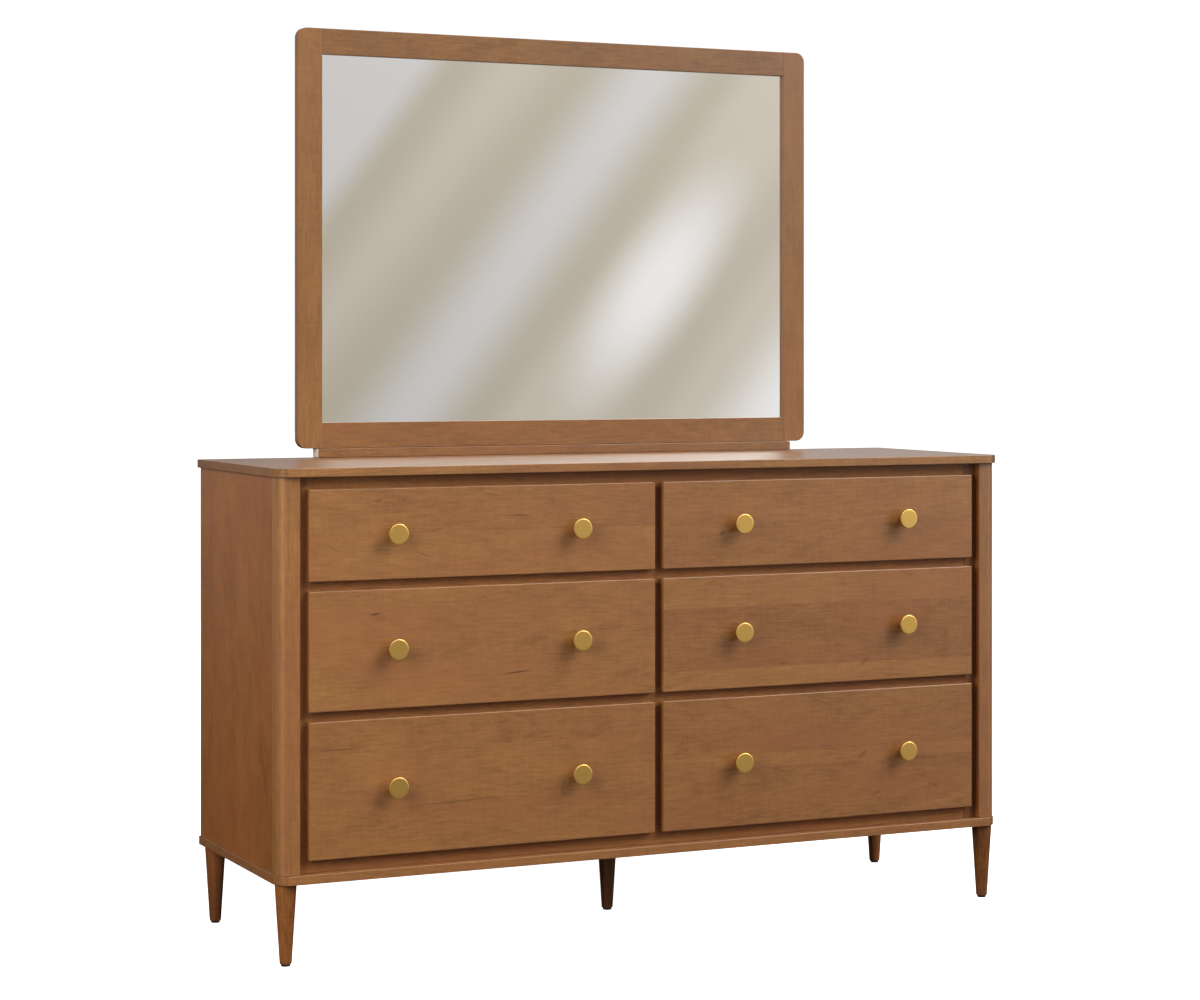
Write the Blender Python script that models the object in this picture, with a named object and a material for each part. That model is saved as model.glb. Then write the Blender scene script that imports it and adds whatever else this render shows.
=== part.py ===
# A six-drawer double dresser with a landscape mirror standing on its top.
# Metres, +Z up, drawers facing -Y, the floor at Z = 0 and the middle of the whole
# thing's footprint at X = Y = 0. Run it with blender --background --python part.py.
import math

import bmesh
import bpy
from mathutils import Vector

# Room between pieces
SEAT_GAP = 0.0003            # between two pieces that touch
OVERRUN = 0.002              # how far a cutter passes the face that it cuts

# Top and base boards
TOP_WIDTH = 1.524
TOP_DEPTH = 0.4804
TOP_THICKNESS = 0.0158
TOP_CORNER_RADIUS = 0.031
BASE_THICKNESS = 0.0165
BASE_INSET = 0.003           # the base stops this far short of the top, on both ends and in front
BOARD_EASE = 0.0012          # softened edge of the top, base and fronts
MEMBER_EASE = 0.0010         # softened edge of the posts and the mirror's frame

# Carcass
END_OVERHANG = 0.0065        # top past the side panels
FRONT_OVERHANG = 0.0088      # top past the posts and the closed drawer fronts
POST_WIDTH = 0.0396
POST_DEPTH = 0.038
POST_RADIUS = 0.020
SIDE_THICKNESS = 0.018
BACK_THICKNESS = 0.006
BACK_RABBET = 0.009          # how far the back panel reaches into each side panel's rabbet
BOARD_THICKNESS = 0.018      # runner boards and the centre partition
STILE_DEPTH = 0.020          # face frame, front to back
REAR_RAIL_HEIGHT = 0.060
REAR_RAIL_THICKNESS = 0.018

# Drawer fronts, top row first
FRONT_HEIGHTS = (0.1651, 0.2164, 0.2472)
FRONT_THICKNESS = 0.0155
FRONT_GAP = 0.0175           # shadow gap round and between the fronts
REVEAL_TOP = 0.0232          # top board down to the first front
REVEAL_BOTTOM = 0.0240       # last front down to the base board
FRONT_OVERLAY = 0.010        # each front covers this much of the face frame all round

# Drawer boxes and what they run on
BOX_BACK_ROOM = 0.0438       # from the box back to the back panel
BOX_WALL = 0.0127
BOX_FLOOR = 0.0064
BOX_FLOOR_RAISE = 0.010      # underside of the floor above the lower edge of the walls
BOX_TOP_ROOM = 0.014         # from the box up to the rail over it
BOX_BOTTOM_ROOM = 0.004
BOX_SIDE_ROOM = 0.0015
RIB_HEIGHT = 0.014
RIB_REACH = 0.006            # runner rib inside the drawer's groove
GROOVE_SIDE_ROOM = 0.0008
GROOVE_LOWER_ROOM = 0.001

# Knobs
KNOB_SPREAD = 0.183          # each knob's distance from the middle of its front
KNOB_RADIUS = 0.0193
KNOB_DISC = 0.0072
KNOB_RIM = 0.0019
KNOB_STEM_RADIUS = 0.0060
KNOB_FOOT_RADIUS = 0.0085
KNOB_FOOT_HEIGHT = 0.003
KNOB_REACH = 0.0249          # from the drawer front to the knob's face

# Legs
LEG_HEIGHT = 0.1472          # floor to the underside of the base
LEG_TOP_RADIUS = 0.0203
LEG_FOOT_RADIUS = 0.0110
LEG_FOOT_ROUND = 0.0025
LEG_INSET_X = 0.0265
LEG_INSET_Y = 0.0310
TENON_RADIUS = 0.0100
TENON_LENGTH = 0.0110
GLIDE_RADIUS = 0.0085
GLIDE_HEIGHT = 0.0032
GLIDE_EASE = 0.0008

# Mirror
MIRROR_WIDTH = 1.1322
MIRROR_HEIGHT = 0.8243
MIRROR_MEMBER = 0.0506       # width of the frame's stiles and rails
MIRROR_THICKNESS = 0.0196
MIRROR_CORNER_RADIUS = 0.019
JOINT_LENGTH = 0.025         # mortise and tenon between rail and stile
JOINT_THICKNESS = 0.0065
JOINT_HEIGHT = 0.028
REBATE_WIDTH = 0.009         # ledge that the glass lies against, seen from behind
GLASS_RECESS = 0.008         # frame's front down to the glass
GLASS_THICKNESS = 0.004
GLASS_EDGE_ROOM = 0.001
BACKING_THICKNESS = 0.0044
BACKING_INSET = 0.016
FOOT_RAIL_INSET = 0.0390     # the foot rail stops this far short of the mirror at each end
FOOT_RAIL_HEIGHT = 0.0174
FOOT_RAIL_DEPTH = 0.0335
SUPPORT_WIDTH = 0.060
SUPPORT_THICKNESS = 0.018
SUPPORT_SPREAD = 0.300       # each support's distance from the middle
SUPPORT_DROP = 0.240         # how far the supports reach below the dresser's top
SUPPORT_TOP_MARGIN = 0.160   # from their upper ends to the top of the mirror
SUPPORT_CORNER_RADIUS = 0.012

# Levels
BASE_BOTTOM = LEG_HEIGHT
BASE_TOP = BASE_BOTTOM + BASE_THICKNESS
FRONTS_BOTTOM = BASE_TOP + REVEAL_BOTTOM
FRONTS_TOP = FRONTS_BOTTOM + sum(FRONT_HEIGHTS) + FRONT_GAP * (len(FRONT_HEIGHTS) - 1)
TOP_BOTTOM = FRONTS_TOP + REVEAL_TOP
TOP_SURFACE = TOP_BOTTOM + TOP_THICKNESS
MIRROR_BOTTOM = TOP_SURFACE + FOOT_RAIL_HEIGHT + 2 * SEAT_GAP
MIRROR_TOP = MIRROR_BOTTOM + MIRROR_HEIGHT

# Planes across the depth, from the front edge of the top at Y = TOP_FRONT
TOTAL_DEPTH = KNOB_REACH + SEAT_GAP - FRONT_OVERHANG + TOP_DEPTH + SEAT_GAP + SUPPORT_THICKNESS
TOP_FRONT = KNOB_REACH + SEAT_GAP - FRONT_OVERHANG - TOTAL_DEPTH / 2
TOP_BACK = TOP_FRONT + TOP_DEPTH
FRONT_FACE = TOP_FRONT + FRONT_OVERHANG
FRONT_BACK = FRONT_FACE + FRONT_THICKNESS
FRAME_FACE = FRONT_BACK + SEAT_GAP
FRAME_BACK = FRAME_FACE + STILE_DEPTH
BACK_FACE = TOP_BACK - BACK_THICKNESS
BOX_FRONT = FRONT_BACK + SEAT_GAP
BOX_BACK = BACK_FACE - BOX_BACK_ROOM
BACKING_FACE = TOP_BACK - BACKING_THICKNESS
MIRROR_BACK = BACKING_FACE - SEAT_GAP
MIRROR_FACE = MIRROR_BACK - MIRROR_THICKNESS
SUPPORT_FACE = TOP_BACK + SEAT_GAP

# Planes across the width, measured on the right-hand side
TOP_END = TOP_WIDTH / 2
SIDE_FACE = TOP_END - END_OVERHANG
POST_INNER = SIDE_FACE - POST_WIDTH
FRONT_OUTER = POST_INNER - FRONT_GAP
FRONT_INNER = FRONT_GAP / 2
OPENING_OUTER = FRONT_OUTER - FRONT_OVERLAY
OPENING_INNER = FRONT_INNER + FRONT_OVERLAY
COLUMN_MIDDLE = (FRONT_OUTER + FRONT_INNER) / 2
MIRROR_END = MIRROR_WIDTH / 2
MIRROR_OPENING = MIRROR_END - MIRROR_MEMBER

ARC_STEPS = 10
LEG_FACETS = 32
KNOB_FACETS = 24

ROWS = ("top", "middle", "bottom")
SIDES = {"left": -1, "right": 1}


def clear_scene():
    """Take every object out of the open scene."""
    for item in list(bpy.data.objects):
        bpy.data.objects.remove(item, do_unlink=True)


def finish(name, colour, roughness, metallic=0.0):
    """Make one Principled material."""
    made = bpy.data.materials.new(name)
    made.use_nodes = True
    shader = made.node_tree.nodes["Principled BSDF"]
    shader.inputs["Base Color"].default_value = (*colour, 1.0)
    shader.inputs["Roughness"].default_value = roughness
    shader.inputs["Metallic"].default_value = metallic
    made.diffuse_color = (*colour, 1.0)
    return made


def add_object(name, shape, material, place=(0, 0, 0), parent=None):
    """Turn a bmesh into a named object standing at a place, under an optional parent."""
    bmesh.ops.recalc_face_normals(shape, faces=shape.faces)
    mesh = bpy.data.meshes.new(name)
    shape.to_mesh(mesh)
    shape.free()
    if material:
        mesh.materials.append(material)
    item = bpy.data.objects.new(name, mesh)
    item.location = place
    item.parent = parent
    bpy.context.scene.collection.objects.link(item)
    return item


def block(low, high):
    """A box between two opposite corners."""
    shape = bmesh.new()
    bmesh.ops.create_cube(shape, size=1)
    for vert in shape.verts:
        vert.co = [last if value > 0 else first for value, first, last in zip(vert.co, low, high)]
    return shape


def extruded(outline, start, end, axis):
    """Carry a closed outline along an axis, from one plane to another."""
    along = Vector([1 if letter == axis else 0 for letter in "XYZ"])
    across = [letter for letter in "XYZ" if letter != axis]
    shape = bmesh.new()
    verts = []
    for first, second in outline:
        values = {axis: start, across[0]: first, across[1]: second}
        verts.append(shape.verts.new([values[letter] for letter in "XYZ"]))
    face = shape.faces.new(verts)
    result = bmesh.ops.extrude_face_region(shape, geom=[face])
    moved = [item for item in result["geom"] if isinstance(item, bmesh.types.BMVert)]
    bmesh.ops.translate(shape, verts=moved, vec=along * (end - start))
    return shape


def arc(centre, radius, first_degrees, last_degrees):
    """Points along a round corner, both ends included."""
    points = []
    for step in range(ARC_STEPS + 1):
        angle = math.radians(first_degrees + (last_degrees - first_degrees) * step / ARC_STEPS)
        points.append((centre[0] + radius * math.cos(angle), centre[1] + radius * math.sin(angle)))
    return points


def turned(profile, facets):
    """Spin a profile of (radius, height) points round Z; a radius of 0 closes an end."""
    shape = bmesh.new()
    verts = [shape.verts.new((radius, 0, height)) for radius, height in profile]
    edges = [shape.edges.new(pair) for pair in zip(verts, verts[1:])]
    bmesh.ops.spin(shape, geom=verts + edges, cent=(0, 0, 0), axis=(0, 0, 1),
                   angle=math.tau, steps=facets, use_merge=True, use_duplicate=False)
    bmesh.ops.remove_doubles(shape, verts=shape.verts, dist=SEAT_GAP / 10)
    return shape


def shade_round(item, degrees=35):
    """Shade the curved faces smooth and keep the real edges sharp."""
    item.data.shade_smooth()
    item.data.set_sharp_from_angle(angle=math.radians(degrees))


def ease(item, width, segments=2):
    """Soften the edges of a piece, as a sanded board's are."""
    bevel = item.modifiers.new("eased edges", "BEVEL")
    bevel.width = width
    bevel.segments = segments
    bevel.limit_method = "ANGLE"
    bevel.angle_limit = math.radians(40)


def boolean(item, tool, operation):
    """Cut a piece by a tool, or join the tool to it, and hide the tool."""
    tool.hide_render = True
    tool.display_type = "WIRE"
    joint = item.modifiers.new(tool.name, "BOOLEAN")
    joint.operation = operation
    joint.solver = "EXACT"
    joint.object = tool


def rounded_front_outline(end, front, back, radius):
    """Plan of a board that is square behind and rounded at its two front corners."""
    points = [(end, back), (-end, back)]
    points += arc((-end + radius, front + radius), radius, 180, 270)
    points += arc((end - radius, front + radius), radius, 270, 360)
    return points


def front_bottom(row):
    """Level of the lower edge of a row's drawer fronts."""
    lower = FRONT_HEIGHTS[row + 1:]
    return FRONTS_BOTTOM + sum(lower) + FRONT_GAP * len(lower)


def opening_levels(row):
    """Levels of the lower and upper edges of a row's opening in the face frame."""
    bottom = front_bottom(row)
    return bottom + FRONT_OVERLAY, bottom + FRONT_HEIGHTS[row] - FRONT_OVERLAY


def rib_level(row):
    """Level of the top of a row's runner ribs."""
    bottom, top = opening_levels(row)
    middle = (bottom + BOX_BOTTOM_ROOM + top - BOX_TOP_ROOM) / 2
    return middle + RIB_HEIGHT / 2


def make_top_and_base(wood):
    """The two boards that close the carcass, with the holes for the legs' tenons."""
    outline = rounded_front_outline(TOP_END, TOP_FRONT, TOP_BACK, TOP_CORNER_RADIUS)
    top = add_object("top_panel", extruded(outline, TOP_BOTTOM, TOP_SURFACE, "Z"), wood)
    shade_round(top)
    ease(top, BOARD_EASE)
    end = TOP_END - BASE_INSET
    outline = rounded_front_outline(end, TOP_FRONT + BASE_INSET, TOP_BACK, TOP_CORNER_RADIUS)
    base = add_object("base_panel", extruded(outline, BASE_BOTTOM, BASE_TOP, "Z"), wood)
    shade_round(base)
    ease(base, BOARD_EASE)
    for name, (x, y) in leg_places().items():
        radius = TENON_RADIUS + SEAT_GAP
        depth = TENON_LENGTH + SEAT_GAP
        profile = [(0, -OVERRUN), (radius, -OVERRUN), (radius, depth), (0, depth)]
        tool = add_object("tenon_hole_" + name, turned(profile, LEG_FACETS), None, (x, y, BASE_BOTTOM))
        boolean(base, tool, "DIFFERENCE")


def make_carcass(wood, ply):
    """Side panels with a rabbet for the back, rounded front posts, back panel and rear rail."""
    low, high = BASE_TOP + SEAT_GAP, TOP_BOTTOM - SEAT_GAP
    post_back = FRONT_FACE + POST_DEPTH
    for side, sign in SIDES.items():
        outline = arc((SIDE_FACE - POST_RADIUS, FRONT_FACE + POST_RADIUS), POST_RADIUS, 270, 360)
        outline += [(SIDE_FACE, post_back), (POST_INNER, post_back), (POST_INNER, FRONT_FACE)]
        outline = [(sign * x, y) for x, y in outline]
        post = add_object("front_post_" + side, extruded(outline, low, high, "Z"), wood)
        shade_round(post)
        ease(post, MEMBER_EASE)
        inner, step, front = SIDE_FACE - SIDE_THICKNESS, BACK_FACE - SEAT_GAP, post_back + SEAT_GAP
        outline = [(SIDE_FACE, front), (SIDE_FACE, TOP_BACK), (inner + BACK_RABBET, TOP_BACK),
                   (inner + BACK_RABBET, step), (inner, step), (inner, front)]
        outline = [(sign * x, y) for x, y in outline]
        add_object("side_panel_" + side, extruded(outline, low, high, "Z"), wood)
    end = SIDE_FACE - SIDE_THICKNESS + BACK_RABBET - SEAT_GAP
    add_object("back_panel", block((-end, BACK_FACE, low), (end, TOP_BACK, high)), ply)
    end = OPENING_OUTER - SEAT_GAP
    back = BACK_FACE - SEAT_GAP
    rail = block((-end, back - REAR_RAIL_THICKNESS, high - REAR_RAIL_HEIGHT), (end, back, high))
    add_object("rear_rail", rail, wood)


def make_face_rails(wood):
    """The four rails across the front, between the two runner boards."""
    end = OPENING_OUTER - SEAT_GAP
    levels = {"face_rail_top": (opening_levels(0)[1], TOP_BOTTOM - SEAT_GAP),
              "face_rail_upper": (opening_levels(1)[1], opening_levels(0)[0]),
              "face_rail_lower": (opening_levels(2)[1], opening_levels(1)[0]),
              "face_rail_bottom": (BASE_TOP + SEAT_GAP, opening_levels(2)[0])}
    for name, (low, high) in levels.items():
        add_object(name, block((-end, FRAME_FACE, low), (end, FRAME_BACK, high)), wood)


def add_rib(board, name, inner, outer, row):
    """Join one runner rib to the board that carries it."""
    top = rib_level(row)
    back = BACK_FACE - SEAT_GAP - OVERRUN
    corners = sorted((inner, outer))
    shape = block((corners[0], FRAME_BACK - OVERRUN, top - RIB_HEIGHT), (corners[1], back, top))
    boolean(board, add_object(name, shape, None), "UNION")


def make_runner_boards(wood):
    """Upright boards beside the drawers: each has the face frame's stile and three runner ribs."""
    low, high = BASE_TOP + SEAT_GAP, TOP_BOTTOM - SEAT_GAP
    back = BACK_FACE - SEAT_GAP
    outer = OPENING_OUTER + BOARD_THICKNESS
    stile_end = POST_INNER - SEAT_GAP
    for side, sign in SIDES.items():
        outline = [(OPENING_OUTER, FRAME_FACE), (stile_end, FRAME_FACE), (stile_end, FRAME_BACK),
                   (outer, FRAME_BACK), (outer, back), (OPENING_OUTER, back)]
        outline = [(sign * x, y) for x, y in outline]
        board = add_object("runner_board_" + side, extruded(outline, low, high, "Z"), wood)
        tip = OPENING_OUTER - BOX_SIDE_ROOM - RIB_REACH
        for row, row_name in enumerate(ROWS):
            name = f"rib_{side}_{row_name}"
            add_rib(board, name, sign * tip, sign * (OPENING_OUTER + OVERRUN), row)


def make_partition(wood):
    """The centre board: a stile in front, cut where the rails cross it, and ribs on both faces."""
    low, high = BASE_TOP + SEAT_GAP, TOP_BOTTOM - SEAT_GAP
    back = BACK_FACE - SEAT_GAP
    half = BOARD_THICKNESS / 2
    outline = [(half, FRAME_BACK), (half, back), (-half, back), (-half, FRAME_BACK),
               (-OPENING_INNER, FRAME_BACK), (-OPENING_INNER, FRAME_FACE),
               (OPENING_INNER, FRAME_FACE), (OPENING_INNER, FRAME_BACK)]
    board = add_object("centre_partition", extruded(outline, low, high, "Z"), wood)
    reach = OPENING_INNER + OVERRUN
    crossings = {"top": (opening_levels(0)[1], high), "upper": (opening_levels(1)[1], opening_levels(0)[0]),
                 "lower": (opening_levels(2)[1], opening_levels(1)[0]),
                 "bottom": (low, opening_levels(2)[0])}
    for name, (bottom, top) in crossings.items():
        bottom -= OVERRUN if name == "bottom" else SEAT_GAP
        top += OVERRUN if name == "top" else SEAT_GAP
        tool = block((-reach, FRAME_FACE - OVERRUN, bottom), (reach, FRAME_BACK + SEAT_GAP, top))
        boolean(board, add_object("rail_notch_" + name, tool, None), "DIFFERENCE")
    rear = block((-reach, back - REAR_RAIL_THICKNESS - SEAT_GAP, high - REAR_RAIL_HEIGHT - SEAT_GAP),
                 (reach, back + OVERRUN, high + OVERRUN))
    boolean(board, add_object("rear_rail_notch", rear, None), "DIFFERENCE")
    tip = OPENING_INNER + BOX_SIDE_ROOM + RIB_REACH
    for row, row_name in enumerate(ROWS):
        add_rib(board, "rib_centre_" + row_name, -tip, tip, row)


def leg_places():
    """Middle of each leg, seen from above."""
    x = TOP_END - LEG_INSET_X
    front, back = TOP_FRONT + LEG_INSET_Y, TOP_BACK - LEG_INSET_Y
    return {"front_left": (-x, front), "front_right": (x, front), "back_left": (-x, back),
            "back_right": (x, back), "centre": (0, (TOP_FRONT + TOP_BACK) / 2)}


def make_legs(wood, nylon):
    """Tapered round legs with a tenon above and a glide under each foot."""
    foot = GLIDE_HEIGHT + SEAT_GAP
    shoulder = LEG_HEIGHT - SEAT_GAP
    slope = (LEG_TOP_RADIUS - LEG_FOOT_RADIUS) / (shoulder - foot)
    rounded = [(LEG_FOOT_RADIUS - LEG_FOOT_ROUND + LEG_FOOT_ROUND * math.sin(angle),
                foot + LEG_FOOT_ROUND * (1 - math.cos(angle)))
               for angle in (math.radians(degrees) for degrees in (0, 30, 60, 90))]
    leg_profile = [(0, foot)] + rounded[:-1]
    leg_profile += [(LEG_FOOT_RADIUS + slope * LEG_FOOT_ROUND, foot + LEG_FOOT_ROUND),
                    (LEG_TOP_RADIUS, shoulder), (TENON_RADIUS, shoulder),
                    (TENON_RADIUS, shoulder + TENON_LENGTH), (0, shoulder + TENON_LENGTH)]
    glide_profile = [(0, 0), (GLIDE_RADIUS - GLIDE_EASE, 0), (GLIDE_RADIUS, GLIDE_EASE),
                     (GLIDE_RADIUS, GLIDE_HEIGHT), (0, GLIDE_HEIGHT)]
    for name, (x, y) in leg_places().items():
        leg = add_object("leg_" + name, turned(leg_profile, LEG_FACETS), wood, (x, y, 0))
        shade_round(leg)
        glide = add_object("glide_" + name, turned(glide_profile, LEG_FACETS // 2), nylon, (x, y, 0))
        shade_round(glide)


def make_box(name, row, birch, drawer):
    """One drawer box: four walls, a raised floor and a groove in each side for its ribs."""
    level = front_bottom(row) + FRONT_HEIGHTS[row] / 2
    bottom, top = (edge - level for edge in opening_levels(row))
    bottom, top = bottom + BOX_BOTTOM_ROOM, top - BOX_TOP_ROOM
    front, back = BOX_FRONT - FRONT_FACE, BOX_BACK - FRONT_FACE
    half = (OPENING_OUTER - OPENING_INNER) / 2 - BOX_SIDE_ROOM
    shape = block((-half, front, bottom), (half, back, top))
    box = add_object("drawer_box_" + name, shape, birch, parent=drawer)
    inner = half - BOX_WALL
    floor_low = bottom + BOX_FLOOR_RAISE
    wells = {"inside": (floor_low + BOX_FLOOR, top + OVERRUN), "underside": (bottom - OVERRUN, floor_low)}
    for label, (low, high) in wells.items():
        shape = block((-inner, front + BOX_WALL, low), (inner, back - BOX_WALL, high))
        boolean(box, add_object(f"{label}_{name}", shape, None, parent=drawer), "DIFFERENCE")
    rib_top = rib_level(row) - level
    low, high = rib_top - RIB_HEIGHT - GROOVE_LOWER_ROOM, rib_top + SEAT_GAP
    start = FRAME_BACK - FRONT_FACE - OVERRUN
    for side, sign in SIDES.items():
        corners = sorted((sign * (half - RIB_REACH - GROOVE_SIDE_ROOM), sign * (half + OVERRUN)))
        shape = block((corners[0], start, low), (corners[1], back + OVERRUN, high))
        boolean(box, add_object(f"groove_{name}_{side}", shape, None, parent=drawer), "DIFFERENCE")


def knob_profile():
    """A flat disc with a softened rim on a waisted stem, as (radius, height off the drawer front)."""
    face, shoulder = KNOB_REACH, KNOB_REACH - KNOB_DISC
    return [(0, 0), (KNOB_FOOT_RADIUS, 0), (KNOB_FOOT_RADIUS, KNOB_FOOT_HEIGHT / 2),
            (KNOB_STEM_RADIUS, KNOB_FOOT_HEIGHT), (KNOB_STEM_RADIUS, shoulder),
            (KNOB_RADIUS - KNOB_RIM, shoulder), (KNOB_RADIUS, shoulder + KNOB_RIM),
            (KNOB_RADIUS, face - KNOB_RIM), (KNOB_RADIUS - KNOB_RIM / 3, face - KNOB_RIM / 3),
            (KNOB_RADIUS - KNOB_RIM, face), (0, face)]


def make_drawers(wood, birch, brass):
    """Six drawers, each under an empty in the middle of its front face."""
    width = FRONT_OUTER - FRONT_INNER
    for column, sign in SIDES.items():
        for row, row_name in enumerate(ROWS):
            name = f"{column}_{row_name}"
            height = FRONT_HEIGHTS[row]
            centre = bpy.data.objects.new("drawer_" + name, None)
            centre.location = (sign * COLUMN_MIDDLE, FRONT_FACE, front_bottom(row) + height / 2)
            bpy.context.scene.collection.objects.link(centre)
            shape = block((-width / 2, 0, -height / 2), (width / 2, FRONT_THICKNESS, height / 2))
            front = add_object("drawer_front_" + name, shape, wood, parent=centre)
            ease(front, BOARD_EASE)
            make_box(name, row, birch, centre)
            for side, way in SIDES.items():
                shape = turned(knob_profile(), KNOB_FACETS)
                place = (way * KNOB_SPREAD, -SEAT_GAP, 0)
                knob = add_object(f"knob_{name}_{side}", shape, brass, place, centre)
                knob.rotation_euler.x = math.radians(90)
                shade_round(knob)


def tenon_block(outer, way, reach, room):
    """The tongue of a mirror rail's joint, or with some room round it the mortise that takes it."""
    middle = outer + way * (MIRROR_MEMBER - REBATE_WIDTH) / 2
    depth = (MIRROR_FACE + MIRROR_BACK) / 2
    return block((reach[0], depth - JOINT_THICKNESS / 2 - room, middle - JOINT_HEIGHT / 2 - room),
                 (reach[1], depth + JOINT_THICKNESS / 2 + room, middle + JOINT_HEIGHT / 2 + room))


def make_mirror_stiles(wood):
    """Two full-height stiles with round outer corners, a stopped rebate and two mortises each."""
    radius = MIRROR_CORNER_RADIUS
    rail_edge = MIRROR_MEMBER - REBATE_WIDTH
    for side, sign in SIDES.items():
        outline = arc((MIRROR_END - radius, MIRROR_BOTTOM + radius), radius, 270, 360)
        outline += arc((MIRROR_END - radius, MIRROR_TOP - radius), radius, 0, 90)
        outline += [(MIRROR_OPENING, MIRROR_TOP), (MIRROR_OPENING, MIRROR_BOTTOM)]
        outline = [(sign * x, z) for x, z in outline]
        stile = add_object("mirror_stile_" + side, extruded(outline, MIRROR_FACE, MIRROR_BACK, "Y"), wood)
        shade_round(stile)
        corners = sorted((sign * (MIRROR_OPENING - OVERRUN), sign * (MIRROR_OPENING + REBATE_WIDTH)))
        tool = block((corners[0], MIRROR_FACE + GLASS_RECESS, MIRROR_BOTTOM + rail_edge),
                     (corners[1], MIRROR_BACK + OVERRUN, MIRROR_TOP - rail_edge))
        boolean(stile, add_object("stile_rebate_" + side, tool, None), "DIFFERENCE")
        reach = sorted((sign * (MIRROR_OPENING - OVERRUN), sign * (MIRROR_OPENING + JOINT_LENGTH)))
        for name, outer, way in (("top", MIRROR_TOP, -1), ("bottom", MIRROR_BOTTOM, 1)):
            tool = add_object(f"mortise_{side}_{name}", tenon_block(outer, way, reach, SEAT_GAP), None)
            boolean(stile, tool, "DIFFERENCE")
        ease(stile, MEMBER_EASE)


def make_mirror_rails(wood):
    """Two rails between the stiles, rebated for the glass, with a tenon at each end."""
    end = MIRROR_OPENING - SEAT_GAP
    ledge = MIRROR_FACE + GLASS_RECESS
    for name, outer, way in (("top", MIRROR_TOP, -1), ("bottom", MIRROR_BOTTOM, 1)):
        inner, step = outer + way * MIRROR_MEMBER, outer + way * (MIRROR_MEMBER - REBATE_WIDTH)
        section = [(MIRROR_FACE, outer), (MIRROR_FACE, inner), (ledge, inner), (ledge, step),
                   (MIRROR_BACK, step), (MIRROR_BACK, outer)]
        rail = add_object("mirror_rail_" + name, extruded(section, -end, end, "X"), wood)
        ease(rail, MEMBER_EASE)
        tip = MIRROR_OPENING + JOINT_LENGTH - SEAT_GAP
        tongue = add_object("tenon_" + name, tenon_block(outer, way, (-tip, tip), 0), None)
        boolean(rail, tongue, "UNION")


def make_mirror_fittings(wood, silver, ply):
    """Glass in the rebate, backing board, foot rail and the two supports behind."""
    ledge = MIRROR_FACE + GLASS_RECESS + SEAT_GAP
    end = MIRROR_OPENING + REBATE_WIDTH - GLASS_EDGE_ROOM
    low = MIRROR_BOTTOM + MIRROR_MEMBER - REBATE_WIDTH + GLASS_EDGE_ROOM
    high = MIRROR_TOP - MIRROR_MEMBER + REBATE_WIDTH - GLASS_EDGE_ROOM
    add_object("mirror_glass", block((-end, ledge, low), (end, ledge + GLASS_THICKNESS, high)), silver)
    end, low = MIRROR_END - BACKING_INSET, MIRROR_BOTTOM + BACKING_INSET
    high = MIRROR_TOP - BACKING_INSET
    add_object("mirror_backing", block((-end, BACKING_FACE, low), (end, TOP_BACK, high)), ply)
    end, low = MIRROR_END - FOOT_RAIL_INSET, TOP_SURFACE + SEAT_GAP
    rail = block((-end, TOP_BACK - FOOT_RAIL_DEPTH, low), (end, TOP_BACK, low + FOOT_RAIL_HEIGHT))
    ease(add_object("mirror_foot_rail", rail, wood), MEMBER_EASE)
    low, high = TOP_SURFACE - SUPPORT_DROP, MIRROR_TOP - SUPPORT_TOP_MARGIN
    half, radius = SUPPORT_WIDTH / 2, SUPPORT_CORNER_RADIUS
    for side, sign in SIDES.items():
        middle = sign * SUPPORT_SPREAD
        outline = arc((middle + half - radius, low + radius), radius, 270, 360)
        outline += arc((middle + half - radius, high - radius), radius, 0, 90)
        outline += arc((middle - half + radius, high - radius), radius, 90, 180)
        outline += arc((middle - half + radius, low + radius), radius, 180, 270)
        shape = extruded(outline, SUPPORT_FACE, SUPPORT_FACE + SUPPORT_THICKNESS, "Y")
        shade_round(add_object("mirror_support_" + side, shape, wood))


def main():
    """Build the dresser from the floor up."""
    clear_scene()
    wood = finish("stained maple", (0.290, 0.140, 0.062), 0.42)
    birch = finish("clear-finished birch", (0.560, 0.390, 0.220), 0.50)
    ply = finish("plain plywood", (0.430, 0.280, 0.150), 0.70)
    brass = finish("satin brass", (0.500, 0.320, 0.080), 0.32, 1.0)
    nylon = finish("black nylon", (0.015, 0.014, 0.013), 0.50)
    silver = finish("silvered glass", (0.780, 0.780, 0.760), 0.05, 1.0)
    make_legs(wood, nylon)
    make_top_and_base(wood)
    make_carcass(wood, ply)
    make_face_rails(wood)
    make_runner_boards(wood)
    make_partition(wood)
    make_drawers(wood, birch, brass)
    make_mirror_stiles(wood)
    make_mirror_rails(wood)
    make_mirror_fittings(wood, silver, ply)


main()
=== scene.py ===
import logging
import math
import random
from dataclasses import dataclass, field, replace
from enum import Enum
from typing import Callable, Sequence

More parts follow.
